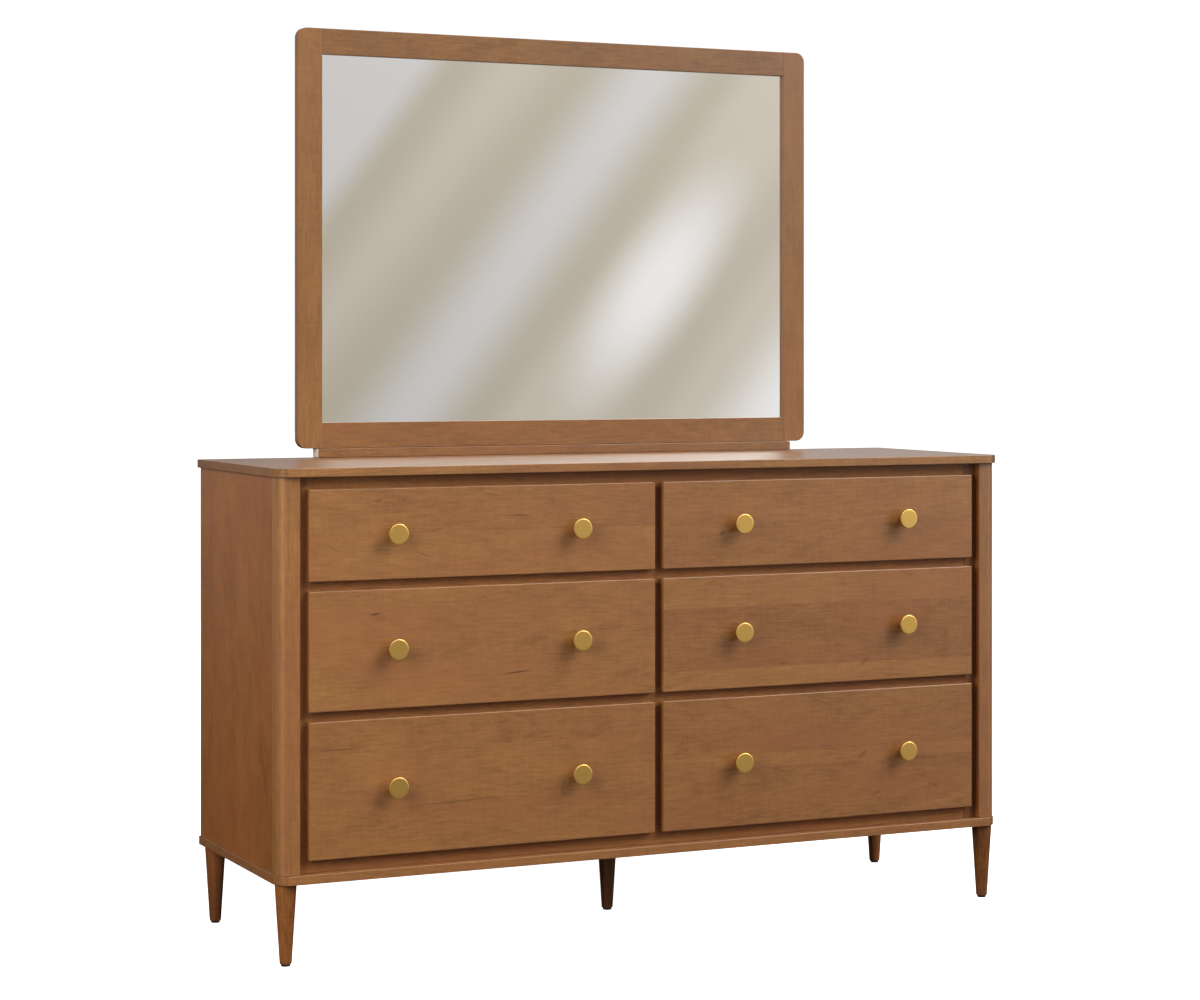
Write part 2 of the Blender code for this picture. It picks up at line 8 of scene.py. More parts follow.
import bmesh
import bpy
from bpy.types import Material, Node, NodeSocket, NodeTree, Object
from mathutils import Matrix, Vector


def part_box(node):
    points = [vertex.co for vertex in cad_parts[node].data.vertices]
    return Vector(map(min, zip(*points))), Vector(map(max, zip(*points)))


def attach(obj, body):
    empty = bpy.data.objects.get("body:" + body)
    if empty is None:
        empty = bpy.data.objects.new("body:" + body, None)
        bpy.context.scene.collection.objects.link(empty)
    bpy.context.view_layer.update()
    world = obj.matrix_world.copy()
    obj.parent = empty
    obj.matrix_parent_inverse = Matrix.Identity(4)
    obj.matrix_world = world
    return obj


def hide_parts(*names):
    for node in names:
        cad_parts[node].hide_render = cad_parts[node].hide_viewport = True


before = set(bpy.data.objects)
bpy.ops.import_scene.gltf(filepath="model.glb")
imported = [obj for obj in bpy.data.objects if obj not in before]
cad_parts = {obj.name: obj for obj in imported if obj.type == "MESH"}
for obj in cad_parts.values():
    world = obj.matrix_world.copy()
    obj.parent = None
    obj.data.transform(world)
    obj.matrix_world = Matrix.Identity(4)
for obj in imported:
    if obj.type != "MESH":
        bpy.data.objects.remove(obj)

LOG = logging.getLogger("dresser")
NEAR = 1e-4          # two places closer than this are the same
GAP = 0.0003         # room between two pieces that touch
SEAT = GAP / 3       # room under a screw's head
PASS = 0.002         # how far a cutting block passes the face that it cuts
HAIR = 0.00005       # room between two boards that are glued
PLY_EASE = 0.0004    # softened edge of plywood
REAL_EDGE = math.radians(40)             # sandpaper softens edges sharper than this
SQUARE = 0.9         # a face whose normal goes this far along an axis is square to it
QUARTER = (0, 22, 45, 67, 90)            # degrees of the rings round a softened rim
SIDES = (("left", -1), ("right", 1))     # each side, and its sign along X
COLUMNS = ("left", "right")
ROWS = ("top", "middle", "bottom")
LEGS = ("front_left", "front_right", "back_left", "back_right", "centre")

Pair = tuple[float, float]
Triple = tuple[float, float, float]
Range = tuple[float, float, float, float]
Strips = dict[str, tuple[float, ...]]
EndsTest = Callable[[Vector, Vector], bool]


class Slot(Enum):
    """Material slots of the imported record."""

    MAPLE = "stained_maple"
    BIRCH = "drawer_birch"
    PLYWOOD = "plywood"
    BRASS = "satin_brass"
    NYLON = "black_nylon"


class Body(Enum):
    """The body that stands still; drawers are named by column and row."""

    CARCASS = "carcass"


def linear(code: str) -> Range:
    """Turn an sRGB hex colour into linear values.

    Args:
        code: Colour such as "#9a6a3c".

    Returns:
        Linear red, green and blue, and an alpha of 1.
    """
    values = [int(code[start:start + 2], 16) / 255 for start in (1, 3, 5)]
    red, green, blue = [v / 12.92 if v <= 0.04045 else ((v + 0.055) / 1.055) ** 2.4 for v in values]
    return red, green, blue, 1.0


def wire(tree: NodeTree, node: Node, inputs: dict) -> Node:
    """Fill or link the inputs of a node.

    Args:
        tree: Tree that holds the node.
        node: The node.
        inputs: Socket name or number to a value, or to the output socket that feeds it.

    Returns:
        The node.
    """
    for place, value in inputs.items():
        if isinstance(value, NodeSocket):
            tree.links.new(value, node.inputs[place])
        else:
            node.inputs[place].default_value = value
    return node


def add(tree: NodeTree, kind: str, inputs: dict | None = None, **settings: object) -> Node:
    """Add one node with its settings, and fill or link its inputs.

    Args:
        tree: Tree that gets the node.
        kind: Node type.
        inputs: Socket name or number to a value, or to the output socket that feeds it.
        **settings: Properties of the node.

    Returns:
        The new node.
    """
    node = tree.nodes.new(kind)
    for name, value in settings.items():
        setattr(node, name, value)
    return wire(tree, node, inputs or {})


def number(tree: NodeTree, way: str, *inputs: object) -> NodeSocket:
    """Add a node that reckons with numbers, and give its result."""
    return add(tree, "ShaderNodeMath", dict(enumerate(inputs)), operation=way).outputs[0]


def vector(tree: NodeTree, way: str, *inputs: object) -> NodeSocket:
    """Add a node that reckons with vectors, and give its result: for some ways a number."""
    outputs = add(tree, "ShaderNodeVectorMath", dict(enumerate(inputs)), operation=way).outputs
    return outputs["Value" if way in ("LENGTH", "DOT_PRODUCT") else "Vector"]


def scaled(tree: NodeTree, value: NodeSocket, factor: NodeSocket) -> NodeSocket:
    """Add a node that makes a vector or colour longer by a factor."""
    return add(tree, "ShaderNodeVectorMath", {0: value, "Scale": factor}, operation="SCALE").outputs[0]


def span(tree: NodeTree, value: NodeSocket, limits: Range, kind: str = "LINEAR") -> NodeSocket:
    """Turn a value between two limits into one between two levels.

    Args:
        tree: Tree that gets the node.
        value: The value.
        limits: Its two limits, and the level at each.
        kind: Shape of the way between them.

    Returns:
        The new value.
    """
    inputs = {0: value, **dict(enumerate(limits, 1))}
    return add(tree, "ShaderNodeMapRange", inputs, interpolation_type=kind).outputs[0]


def soft(tree: NodeTree, value: NodeSocket, *limits: float) -> NodeSocket:
    """Do as span does, with a soft start and a soft end."""
    return span(tree, value, limits, "SMOOTHSTEP")


def blend(tree: NodeTree, share: NodeSocket, first: object, second: object) -> NodeSocket:
    """Add a node that mixes two colours."""
    inputs = {0: share, 6: first, 7: second}
    return add(tree, "ShaderNodeMix", inputs, data_type="RGBA").outputs[2]


def blank(name: str) -> tuple[Material, NodeTree, Node]:
    """Start a material.

    Args:
        name: Its name.

    Returns:
        The material, its node tree and its shader.
    """
    made = bpy.data.materials.new(name)
    made.use_nodes = True
    return made, made.node_tree, made.node_tree.nodes["Principled BSDF"]


def lies(**places: float) -> EndsTest:
    """Give a test for faces whose middle lies at a given x, y or z."""
    fixed = [("xyz".index(letter), place) for letter, place in places.items()]
    return lambda spot, facing: all(abs(spot[i] - place) < NEAR for i, place in fixed)


def runs(axis: str, **places: float) -> EndsTest:
    """Give a test for edges that run along a world axis.

    Args:
        axis: "X", "Y" or "Z".
        **places: The x, y or z at which such an edge has to lie.

    Returns:
        A test on the two ends of an edge.
    """
    others = ["XYZ".index(letter) for letter in "XYZ" if letter != axis]
    near = lies(**places)
    return lambda a, b: all(abs(a[i] - b[i]) < NEAR for i in others) and near(a, b)


def centre_of(node: str) -> Vector:
    """Find the middle of a CAD node's box."""
    low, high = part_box(node)
    return (low + high) / 2


def unit(axis: str) -> Vector:
    """Give the direction of a world axis, to draw a line square to it."""
    return Vector([letter == axis for letter in "XYZ"])


def arc(angles: Sequence[float], radius: float) -> list[Pair]:
    """Give how far along and how far up an arc has come at each angle, in degrees."""
    return [(radius * math.sin(math.radians(angle)), radius * (1 - math.cos(math.radians(angle))))
            for angle in angles]


@dataclass(frozen=True)
class Cut:
    """How a board was sawn and glued up.

    Attributes:
        axes: World axes that lie along, across and through the board.
        glue: Places across the board where two strips meet, lowest first.
        tones: Shade of each strip, lowest first: above 0 paler, below 0 darker.
        rise: How fast the growth rings climb through the board, which draws its arches.
        shift: Least and most metres that a strip may lie up its tree.
        side: Least and most metres that the tree's heart may lie to one side of it.
        depth: Least and most metres that the heart may lie behind it.
    """

    axes: str
    glue: tuple[float, ...] = ()
    tones: tuple[float, ...] = (0.0,)
    rise: float = 0.045
    shift: Pair = (0.0, 9.0)
    side: Pair = (-0.05, 0.05)
    depth: Pair = (0.03, 0.08)


class Piece:
    """One mesh on the bench, shaped with Blender's own tools."""

    def __init__(self, item: Object, name: str) -> None:
        """Take hold of an object and name it and its mesh.

        Args:
            item: The object.
            name: Its name.
        """
        self.item = item
        item.name = name
        item.data.name = name

    @classmethod
    def block(cls, name: str, low: Sequence[float], high: Sequence[float]) -> "Piece":
        """Start a board as a cube resized between two opposite corners.

        Args:
            name: Name of the piece.
            low: Lowest corner.
            high: Highest corner.

        Returns:
            The new piece.
        """
        bpy.ops.object.select_all(action="DESELECT")
        centre = [(first + last) / 2 for first, last in zip(low, high)]
        bpy.ops.mesh.primitive_cube_add(size=1, location=centre)
        piece = cls(bpy.context.object, name)
        piece.item.scale = [last - first for first, last in zip(low, high)]
        return piece.settle()

    @classmethod
    def like(cls, name: str, node: str) -> "Piece":
        """Start a board as a block with the corners of a CAD node."""
        return cls.block(name, *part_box(node))

    @classmethod
    def turned(cls, name: str, profile: Sequence[Pair], facets: int) -> "Piece":
        """Turn a shape round Z: a disc that is extruded and resized ring by ring.

        Args:
            name: Name of the piece.
            profile: Radius and height of each ring, from the first cap to the last.
            facets: Sides of each ring.

        Returns:
            The new piece, closed at both ends.
        """
        bpy.ops.object.select_all(action="DESELECT")
        radius, height = profile[0]
        bpy.ops.mesh.primitive_circle_add(
            vertices=facets, radius=radius, fill_type="NGON", location=(0, 0, height)
        )
        piece = cls(bpy.context.object, name).settle()
        bpy.ops.object.mode_set(mode="EDIT")
        bpy.ops.mesh.select_all(action="SELECT")
        for (radius, height), (next_radius, next_height) in zip(profile, profile[1:]):
            step = {"value": (0, 0, next_height - height)}
            bpy.ops.mesh.extrude_region_move(TRANSFORM_OT_translate=step)
            ratio = next_radius / radius
            bpy.ops.transform.resize(value=(ratio, ratio, 1), center_override=(0, 0, next_height))
        bpy.ops.mesh.select_all(action="SELECT")
        bpy.ops.mesh.normals_make_consistent(inside=False)
        return piece.leave()

    def hold(self) -> "Piece":
        """Make this the only selected object, and the active one.

        Returns:
            This piece.
        """
        bpy.ops.object.select_all(action="DESELECT")
        self.item.select_set(True)
        bpy.context.view_layer.objects.active = self.item
        return self

    def settle(self) -> "Piece":
        """Put the object's place, turn and size into its mesh.

        Returns:
            This piece.
        """
        self.hold()
        bpy.ops.object.transform_apply(location=True, rotation=True, scale=True)
        return self

    def moved(self, offset: Sequence[float]) -> "Piece":
        """Shift the mesh by an offset."""
        self.item.location = offset
        return self.settle()

    def copy(self, name: str, offset: Sequence[float]) -> "Piece":
        """Copy the piece, mesh and all, and shift the copy.

        Args:
            name: Name of the copy.
            offset: Its shift.

        Returns:
            The copy.
        """
        self.hold()
        bpy.ops.object.duplicate(linked=False)
        return Piece(bpy.context.object, name).moved(offset)

    def pick(self, test: Callable[[bmesh.types.BMesh], list]) -> None:
        """Go into edit mode with only the chosen elements selected.

        Args:
            test: Takes the open mesh and returns the edges or faces to select.
        """
        self.hold()
        bpy.ops.object.mode_set(mode="EDIT")
        bpy.ops.mesh.select_mode(type="FACE")
        bpy.ops.mesh.select_all(action="DESELECT")
        shape = bmesh.from_edit_mesh(self.item.data)
        chosen = test(shape)
        if chosen and isinstance(chosen[0], bmesh.types.BMEdge):
            bpy.ops.mesh.select_mode(type="EDGE")
        for part in chosen:
            part.select_set(True)
        shape.select_flush_mode()
        bmesh.update_edit_mesh(self.item.data)

    def pick_faces(self, test: EndsTest) -> None:
        """Select in edit mode the faces whose middle and normal pass a test."""
        self.pick(lambda shape: [f for f in shape.faces if test(f.calc_center_median(), f.normal)])

    def leave(self) -> "Piece":
        """Go back to object mode."""
        bpy.ops.object.mode_set(mode="OBJECT")
        return self

    def rounded(self, test: EndsTest, radius: float, steps: int) -> "Piece":
        """Round the edges that pass a test.

        Args:
            test: Test on the two ends of an edge.
            radius: Radius of the round.
            steps: Faces across it.

        Returns:
            This piece.
        """
        self.pick(lambda shape: [e for e in shape.edges if test(e.verts[0].co, e.verts[1].co)])
        bpy.ops.mesh.bevel(offset=radius, segments=steps, affect="EDGES")
        return self.leave()

    def score(self, test: EndsTest, place: Sequence[float], facing: Sequence[float]) -> "Piece":
        """Draw the line in which a plane meets the faces that pass a test.

        Args:
            test: Test on the middle and normal of a face.
            place: A point of the plane.
            facing: Its normal.

        Returns:
            This piece.
        """
        self.pick_faces(test)
        bpy.ops.mesh.bisect(plane_co=place, plane_no=facing)
        return self.leave()

    def push(self, test: EndsTest, step: Sequence[float]) -> None:
        """Extrude the faces that pass a test, and stay in edit mode with them."""
        self.pick_faces(test)
        bpy.ops.mesh.extrude_region_move(TRANSFORM_OT_translate={"value": step})

    def cut(self, tool: "Piece") -> "Piece":
        """Cut the piece with another one, which then leaves the bench.

        Args:
            tool: The other piece.

        Returns:
            This piece.
        """
        joint = self.item.modifiers.new("cut", "BOOLEAN")
        joint.operation = "DIFFERENCE"
        joint.solver = "EXACT"
        joint.object = tool.item
        self.apply(joint)
        tool.discard()
        return self

    def cut_block(self, low: Sequence[float], high: Sequence[float]) -> "Piece":
        """Cut a block-shaped place out of the piece."""
        return self.cut(Piece.block("tool", low, high))

    def apply(self, modifier: bpy.types.Modifier) -> "Piece":
        """Put a modifier's work into the mesh.

        Args:
            modifier: One of this piece's modifiers.

        Returns:
            This piece.
        """
        self.hold()
        bpy.ops.object.modifier_apply(modifier=modifier.name)
        return self

    def discard(self) -> None:
        """Take the piece off the bench."""
        bpy.data.objects.remove(self.item, do_unlink=True)

    def eased(self, width: float, steps: int = 3) -> "Piece":
        """Soften every real edge, as sandpaper does.

        Args:
            width: Width of the softened edge.
            steps: Faces across it.

        Returns:
            This piece.
        """
        bevel = self.item.modifiers.new("ease", "BEVEL")
        bevel.width = width
        bevel.segments = steps
        bevel.limit_method = "ANGLE"
        bevel.angle_limit = REAL_EDGE
        return self.apply(bevel)

    def smooth(self, degrees: float = 32) -> "Piece":
        """Shade curved faces smooth, and keep real edges.

        Args:
            degrees: Edges sharper than this stay sharp.

        Returns:
            This piece.
        """
        self.hold()
        bpy.ops.object.shade_smooth_by_angle(angle=math.radians(degrees))
        return self

    def grained(self, cut: Cut) -> "Piece":
        """Draw the glue lines, and write on the mesh where its fibres run.

        Each strip gets a place of its own in a tree: how far its heart lies behind it and
        to one side. "grain" is metres along, across and through the strip, measured from
        that heart, and "tone" is the strip's shade.

        Args:
            cut: How the board was sawn.

        Returns:
            This piece.
        """
        for place in cut.glue:
            self.score(lambda spot, facing: True, unit(cut.axes[1]) * place, unit(cut.axes[1]))
        mesh = self.item.data
        along, across, through = ("XYZ".index(letter) for letter in cut.axes)
        places = [vert.co[across] for vert in mesh.vertices]
        limits = [min(places), *cut.glue, max(places)]
        centre = sum(vert.co[along] for vert in mesh.vertices) / len(mesh.vertices)
        strips = []
        for index, (start, end) in enumerate(zip(limits, limits[1:])):
            draw = random.Random(f"{self.item.name} strip {index}")
            strips.append((draw.uniform(*cut.shift), draw.uniform(*cut.side) - (start + end) / 2,
                           draw.uniform(*cut.depth), draw.choice((-1, 1)) * cut.rise,
                           cut.tones[index % len(cut.tones)]))
        mesh.attributes.new("grain", "FLOAT_VECTOR", "CORNER")
        mesh.attributes.new("tone", "FLOAT", "CORNER")
        grain, tone = mesh.attributes["grain"], mesh.attributes["tone"]
        for face in mesh.polygons:
            index = sum(face.center[across] > place for place in cut.glue)
            shift, side, depth, rise, shade = strips[index]
            for loop in face.loop_indices:
                spot = mesh.vertices[mesh.loops[loop].vertex_index].co
                climb = depth + rise * (spot[along] - centre)
                grain.data[loop].vector = (spot[along] + shift, spot[across] + side,
                                           spot[through] + climb)
                tone.data[loop].value = shade
        return self

    def end_grain(self, finish: Material, axis: str) -> None:
        """Give the two ends of the piece a finish of their own.

        Args:
            finish: Material of the ends.
            axis: World axis along which they face.
        """
        self.item.data.materials.append(finish)
        for face in self.item.data.polygons:
            if abs(face.normal["XYZ".index(axis)]) > SQUARE:
                face.material_index = 1

    def dressed(self, finish: Material, slot: Slot | None, *nodes: str,
                body: str = Body.CARCASS.value) -> "Piece":
        """Give the piece its finish, its body and the CAD nodes that it stands for.

        Wide faces set the shading first, so that only the softened edges look round.

        Args:
            finish: Material of the piece.
            slot: The record's material slot, or None for small fasteners; not used.
            *nodes: CAD nodes that it replaces.
            body: Body that it moves with.

        Returns:
            This piece.
        """
        normals = self.item.modifiers.new("normals", "WEIGHTED_NORMAL")
        normals.keep_sharp = True
        self.apply(normals)
        self.item.data.materials.clear()
        self.item.data.materials.append(finish)
        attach(self.item, body)
        if nodes:
            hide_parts(*nodes)
        LOG.info("%s rides on %s: %d faces", self.item.name, body, len(self.item.data.polygons))
        return self


@dataclass(frozen=True)
class Mark:
    """A knot or a streak on the drawer fronts, seen from the front.

    Attributes:
        place: X and Z of its middle.
        size: Half its length and half its height.
        depth: How dark it is, from 0 to 1.
        lean: How far it turns from level, in degrees.
        core: Part of it that is as dark as its middle.
        through: How far it reaches into the board.
    """

    place: Pair
    size: Pair
    depth: float
    lean: float = 0.0
    core: float = 0.35
    through: float = 10.0


@dataclass(frozen=True)
class Layer:
    """One layer of a wood's figure.

    Attributes:
        grit: How many waves fit in a metre along, across and through the fibres.
        weight: How far the layer moves the colour between its dark and pale ends.
        detail: Octaves of finer waves.
    """

    grit: Triple
    weight: float
    detail: float = 2.0


@dataclass(frozen=True)
class Wood:
    """A wood under a satin finish, drawn from the piece's own "grain" and "tone".

    Attributes:
        name: Name of the material.
        dark: Colour of the late wood.
        pale: Colour of the early wood.
        blush: Colour that slow patches lean towards.
        layers: Fibres, blotches and cross-grain shimmer.
        ring_pitch: Growth rings in a metre.
        ring_weight: How far the rings move the colour.
        ring_waver: How far the rings sway to the sides, in metres.
        ring_detail: Octaves of finer rings, and how strong they are.
        tone_step: How far one step of tone moves the colour.
        roughness: Least and most roughness of the finish.
        coat: How much of a clear coat lies over it.
        sheen: Specular level of the wood under the coat.
        haze: Roughness of the coat.
        knot: Colour of knots and mineral streaks.
        patch: Waves a metre of the slow patches, and their two limits and two levels.
        fleck: The same for the mineral flecks, which are some 20 mm long.
        relief: Strength and depth in metres of the fibres' relief.
    """

    name: str
    dark: str
    pale: str
    blush: str
    layers: tuple[Layer, ...]
    ring_pitch: float = 330.0
    ring_weight: float = 0.35
    ring_waver: float = 0.035
    ring_detail: Pair = (3.0, 0.6)
    tone_step: float = 0.16
    roughness: Pair = (0.40, 0.50)
    coat: float = 0.0
    sheen: float = 0.5
    haze: float = 0.28
    knot: str = "#4a2a15"
    patch: tuple[Triple, Range] = ((2.5, 9.0, 9.0), (0.45, 0.70, 0.0, 0.45))
    fleck: tuple[Triple, Range] = ((22.0, 150.0, 150.0), (0.72, 0.82, 0.0, 0.35))
    relief: Pair = (0.25, 0.0002)

    def material(self, marks: Sequence[Mark] = ()) -> Material:
        """Build the material.

        Args:
            marks: Knots and streaks, in the piece's own X and Z.

        Returns:
            The material.
        """
        made, tree, shader = blank(self.name)
        grain = add(tree, "ShaderNodeAttribute", attribute_name="grain").outputs["Vector"]
        tone = add(tree, "ShaderNodeAttribute", attribute_name="tone").outputs["Fac"]
        shade = number(tree, "MULTIPLY_ADD", tone, self.tone_step, self.rings(tree, grain))
        values = [self.waves(tree, grain, layer.grit, layer.detail) for layer in self.layers]
        for layer, value in zip(self.layers, values):
            centred = number(tree, "SUBTRACT", value, 0.5)
            shade = number(tree, "MULTIPLY_ADD", centred, layer.weight, shade)
        colour = blend(tree, shade, linear(self.dark), linear(self.pale))
        amount, spots = [span(tree, self.waves(tree, grain, grit, 1.0), limits)
                         for grit, limits in (self.patch, self.fleck)]
        colour = blend(tree, amount, colour, linear(self.blush))
        for mark in marks:
            spots = self.marked(tree, mark, spots)
        strength, depth = self.relief
        bump = add(tree, "ShaderNodeBump", {"Height": values[0], "Strength": strength, "Distance": depth})
        wire(tree, shader, {
            "Base Color": blend(tree, spots, colour, linear(self.knot)),
            "Roughness": span(tree, values[0], (0.0, 1.0, *self.roughness)),
            "Normal": bump.outputs[0], "IOR": 1.5, "Specular IOR Level": self.sheen,
            "Coat Weight": self.coat, "Coat Roughness": self.haze,
        })
        return made

    def waves(self, tree: NodeTree, grain: NodeSocket, grit: Triple, detail: float) -> NodeSocket:
        """Draw one layer of noise, stretched along the fibres."""
        inputs = {"Vector": vector(tree, "MULTIPLY", grain, grit), "Scale": 1.0, "Detail": detail}
        return add(tree, "ShaderNodeTexNoise", inputs).outputs["Fac"]

    def rings(self, tree: NodeTree, grain: NodeSocket) -> NodeSocket:
        """Draw growth rings round the strip's heart, wavering as a tree's do.

        Args:
            tree: The material's nodes.
            grain: Metres along, across and through the strip.

        Returns:
            The rings' shade, which lies round a half.
        """
        waver = number(tree, "SUBTRACT", self.waves(tree, grain, (3.0, 9.0, 9.0), 2.0), 0.5)
        parts = add(tree, "ShaderNodeSeparateXYZ", {0: grain}).outputs
        across = number(tree, "MULTIPLY_ADD", waver, self.ring_waver, parts[1])
        level = add(tree, "ShaderNodeCombineXYZ", {0: across, 1: parts[2]}).outputs[0]
        detail, strength = self.ring_detail
        inputs = {"W": vector(tree, "LENGTH", level), "Scale": self.ring_pitch, "Detail": detail,
                  "Roughness": strength}
        noise = add(tree, "ShaderNodeTexNoise", inputs, noise_dimensions="1D").outputs["Fac"]
        weighted = number(tree, "MULTIPLY", noise, self.ring_weight)
        return number(tree, "ADD", weighted, 0.5 - self.ring_weight / 2)

    def marked(self, tree: NodeTree, mark: Mark, spots: NodeSocket) -> NodeSocket:
        """Add one knot or streak to the mask so far.

        Args:
            tree: The material's nodes.
            mark: The knot or streak.
            spots: The mask so far.

        Returns:
            The new mask.
        """
        inputs = {
            0: add(tree, "ShaderNodeTexCoord").outputs["Object"],
            "Location": (mark.place[0], 0.0, mark.place[1]),
            "Rotation": (0.0, -math.radians(mark.lean), 0.0),
            "Scale": (mark.size[0], mark.through, mark.size[1]),
        }
        local = add(tree, "ShaderNodeMapping", inputs, vector_type="TEXTURE").outputs[0]
        mask = soft(tree, vector(tree, "LENGTH", local), mark.core, 1.0, mark.depth, 0.0)
        return number(tree, "MAXIMUM", mask, spots)


@dataclass(frozen=True)
class Fitting:
    """Brass, steel, nylon or silvered glass: one colour with a faint cloud or grit.

    Attributes:
        name: Name of the material.
        colour: Main colour.
        second: Colour that the cloud leans towards.
        metallic: 1 for a metal.
        roughness: Least and most roughness.
        grit: Waves in a metre of the surface's grit.
        bump: Height of the grit, in metres.
        coat: How much of a clear coat lies over it.
        haze: Roughness of that coat.
    """

    name: str
    colour: str
    second: str
    metallic: float
    roughness: Pair
    grit: float
    bump: float = 0.0
    coat: float = 0.0
    haze: float = 0.30

    def material(self) -> Material:
        """Build the material.

        Returns:
            The material.
        """
        made, tree, shader = blank(self.name)
        place = add(tree, "ShaderNodeTexCoord").outputs["Object"]
        inputs = {"Vector": place, "Scale": self.grit, "Detail": 3.0}
        noise = add(tree, "ShaderNodeTexNoise", inputs).outputs["Fac"]
        wire(tree, shader, {
            "Base Color": blend(tree, noise, linear(self.colour), linear(self.second)),
            "Roughness": span(tree, noise, (0.0, 1.0, *self.roughness)),
            "Metallic": self.metallic, "Coat Weight": self.coat, "Coat Roughness": self.haze,
        })
        if self.bump:
            inputs = {"Height": noise, "Strength": 0.3, "Distance": self.bump}
            wire(tree, shader, {"Normal": add(tree, "ShaderNodeBump", inputs).outputs[0]})
        return made


# Knots and streaks of the six fronts, placed as a maker would mark them on the boards
FRONT_MARKS = (
    Mark((-0.284, 0.796), (0.024, 0.0013), 1.00, -3),
    Mark((-0.310, 0.796), (0.045, 0.0026), 0.30, -2),
    Mark((-0.567, 0.830), (0.012, 0.0026), 0.50, 12),
    Mark((-0.655, 0.746), (0.020, 0.0013), 0.35, -32),
    Mark((-0.480, 0.730), (0.032, 0.0015), 0.40, -20),
    Mark((-0.530, 0.744), (0.026, 0.0013), 0.30, -14),
    Mark((-0.330, 0.722), (0.030, 0.0013), 0.25, -24),
    Mark((-0.573, 0.624), (0.014, 0.0026), 0.95, 6),
    Mark((-0.565, 0.616), (0.024, 0.0090), 0.18, 6),
    Mark((-0.293, 0.506), (0.036, 0.0020), 0.90, 4),
    Mark((0.134, 0.751), (0.010, 0.0045), 0.65, 25),
    Mark((0.376, 0.753), (0.006, 0.0030), 0.35),
    Mark((0.449, 0.491), (0.016, 0.0055), 0.34, 38),
    Mark((0.446, 0.309), (0.016, 0.0055), 0.34, 40),
    Mark((0.609, 0.238), (0.020, 0.0040), 0.34, -25),
    Mark((0.580, 0.262), (0.022, 0.0016), 0.26, 15),
    Mark((0.476, 0.230), (0.016, 0.0050), 0.30, 20),
    Mark((-0.645, 0.384), (0.050, 0.0022), 0.55, 1),
    Mark((-0.400, 0.276), (0.120, 0.0020), 0.45, 2),
)


class Finishes:
    """Every material of the dresser, each built once."""

    def __init__(self) -> None:
        """Build the materials."""
        # Maple, toner-stained and sprayed with satin lacquer: warm mid brown, soft blotches,
        # a faint shimmer across the fibres and low arches where the boards are flat-sawn
        maple = Wood(
            "stained_maple_satin_lacquer", "#7c4d27", "#b07a43", "#9b5f38",
            (Layer((24.0, 230.0, 230.0), 0.95, 3.0), Layer((7.0, 20.0, 20.0), 0.55),
             Layer((150.0, 18.0, 18.0), 0.30), Layer((110.0, 420.0, 420.0), 0.45, 1.0)),
            coat=1.0, sheen=0.15,
        )
        self.maple = maple.material()
        self.fronts = maple.material(FRONT_MARKS)
        # The top's colour is darker than the fronts': a painted shade that takes back the strong light on
        # its
        # upward face. Its lacquer is rubbed down: a wide soft sheen that greys the wood towards the mirror
        self.top = replace(maple, name="stained_maple_rubbed_lacquer", dark="#6b4320",
                           blush="#8a5630", haze=0.34).material()
        # End panels: the same maple, redder and a trace darker than the fronts
        ends = replace(maple, name="stained_maple_deep_satin_lacquer", dark="#794722", pale="#b07038",
                       blush="#985730", sheen=0.0)
        self.ends = ends.material()
        # Legs: darker still, a painted shade for the legs that stand under the base, with a thin dry lacquer
        # as turned work has
        self.legs = replace(ends, name="stained_maple_leg_thin_lacquer", dark="#6c3e1c", coat=0.35,
                            sheen=0.15).material()
        # Rails and stiles round the openings: as thinly lacquered, a darker, greyer brown that is painted
        # shade in the recesses
        self.rails = replace(maple, name="stained_maple_rail_thin_lacquer", dark="#744925",
                             pale="#aa723f", blush="#925a36", coat=0.35).material()
        # Mirror frame and its foot: a shade darker than the fronts, a painted shade against the strong light
        # and the top's bounce up there
        self.frame = replace(maple, name="stained_maple_frame_satin_lacquer", dark="#6b4320",
                             pale="#9c6c38", blush="#8a5630").material()
        # End grain of the same maple, left bare: pale cream, dry, with short dots in place of fibres; its
        # paleness is partly a painted reflection of the white backdrop on the foot's ends
        self.bare = Wood(
            "maple_end_grain_bare", "#dcc5ae", "#efdfce", "#e3cfbb",
            (Layer((300.0, 420.0, 420.0), 0.50),), roughness=(0.60, 0.70),
        ).material()
        # Solid birch under clear lacquer: cream with fine even fibres
        self.birch = Wood(
            "birch_clear_lacquer", "#b98f5c", "#dcbb88", "#cfa877",
            (Layer((10.0, 420.0, 420.0), 0.40, 4.0), Layer((6.0, 24.0, 24.0), 0.35)),
            ring_weight=0.22, roughness=(0.45, 0.55),
        ).material()
        # Birch plywood, sanded and left bare: wide rotary-cut figure and a dry surface
        self.plywood = Wood(
            "birch_plywood_bare", "#a47a4c", "#cfa873", "#b98c5c",
            (Layer((8.0, 260.0, 260.0), 0.40, 3.0), Layer((3.0, 11.0, 11.0), 0.60)),
            ring_pitch=120.0, ring_weight=0.45, roughness=(0.62, 0.75),
        ).material()
        # Solid brass, fine-brushed and lacquered: satin, so highlights spread into a soft glow
        self.brass = Fitting("brass_satin_lacquered", "#d3a953", "#caa04a", 1.0, (0.25, 0.33), 900.0,
                             0.00001, 0.8).material()
        # Nylon, injection moulded: near black with a fine pebble
        self.nylon = Fitting("nylon_moulded_black", "#141312", "#1d1c1a", 0.0, (0.45, 0.60), 1400.0,
                             0.00005).material()
        # Zinc-plated steel: cool grey, faintly clouded
        self.steel = Fitting("steel_zinc_plated", "#a8a9ab", "#8f9298", 1.0, (0.28, 0.42),
                             600.0).material()
        # Float glass silvered behind: a clean reflection, a trace warmer than what it shows
        self.mirror = Fitting("glass_silvered", "#ecebe7", "#e9e9e6", 1.0, (0.0, 0.012),
                              2.0).material()


def upright_cut(tone: float) -> Cut:
    """Give the cut of a narrow board that stands upright."""
    return Cut("ZXY", tones=(tone,), rise=0.02)


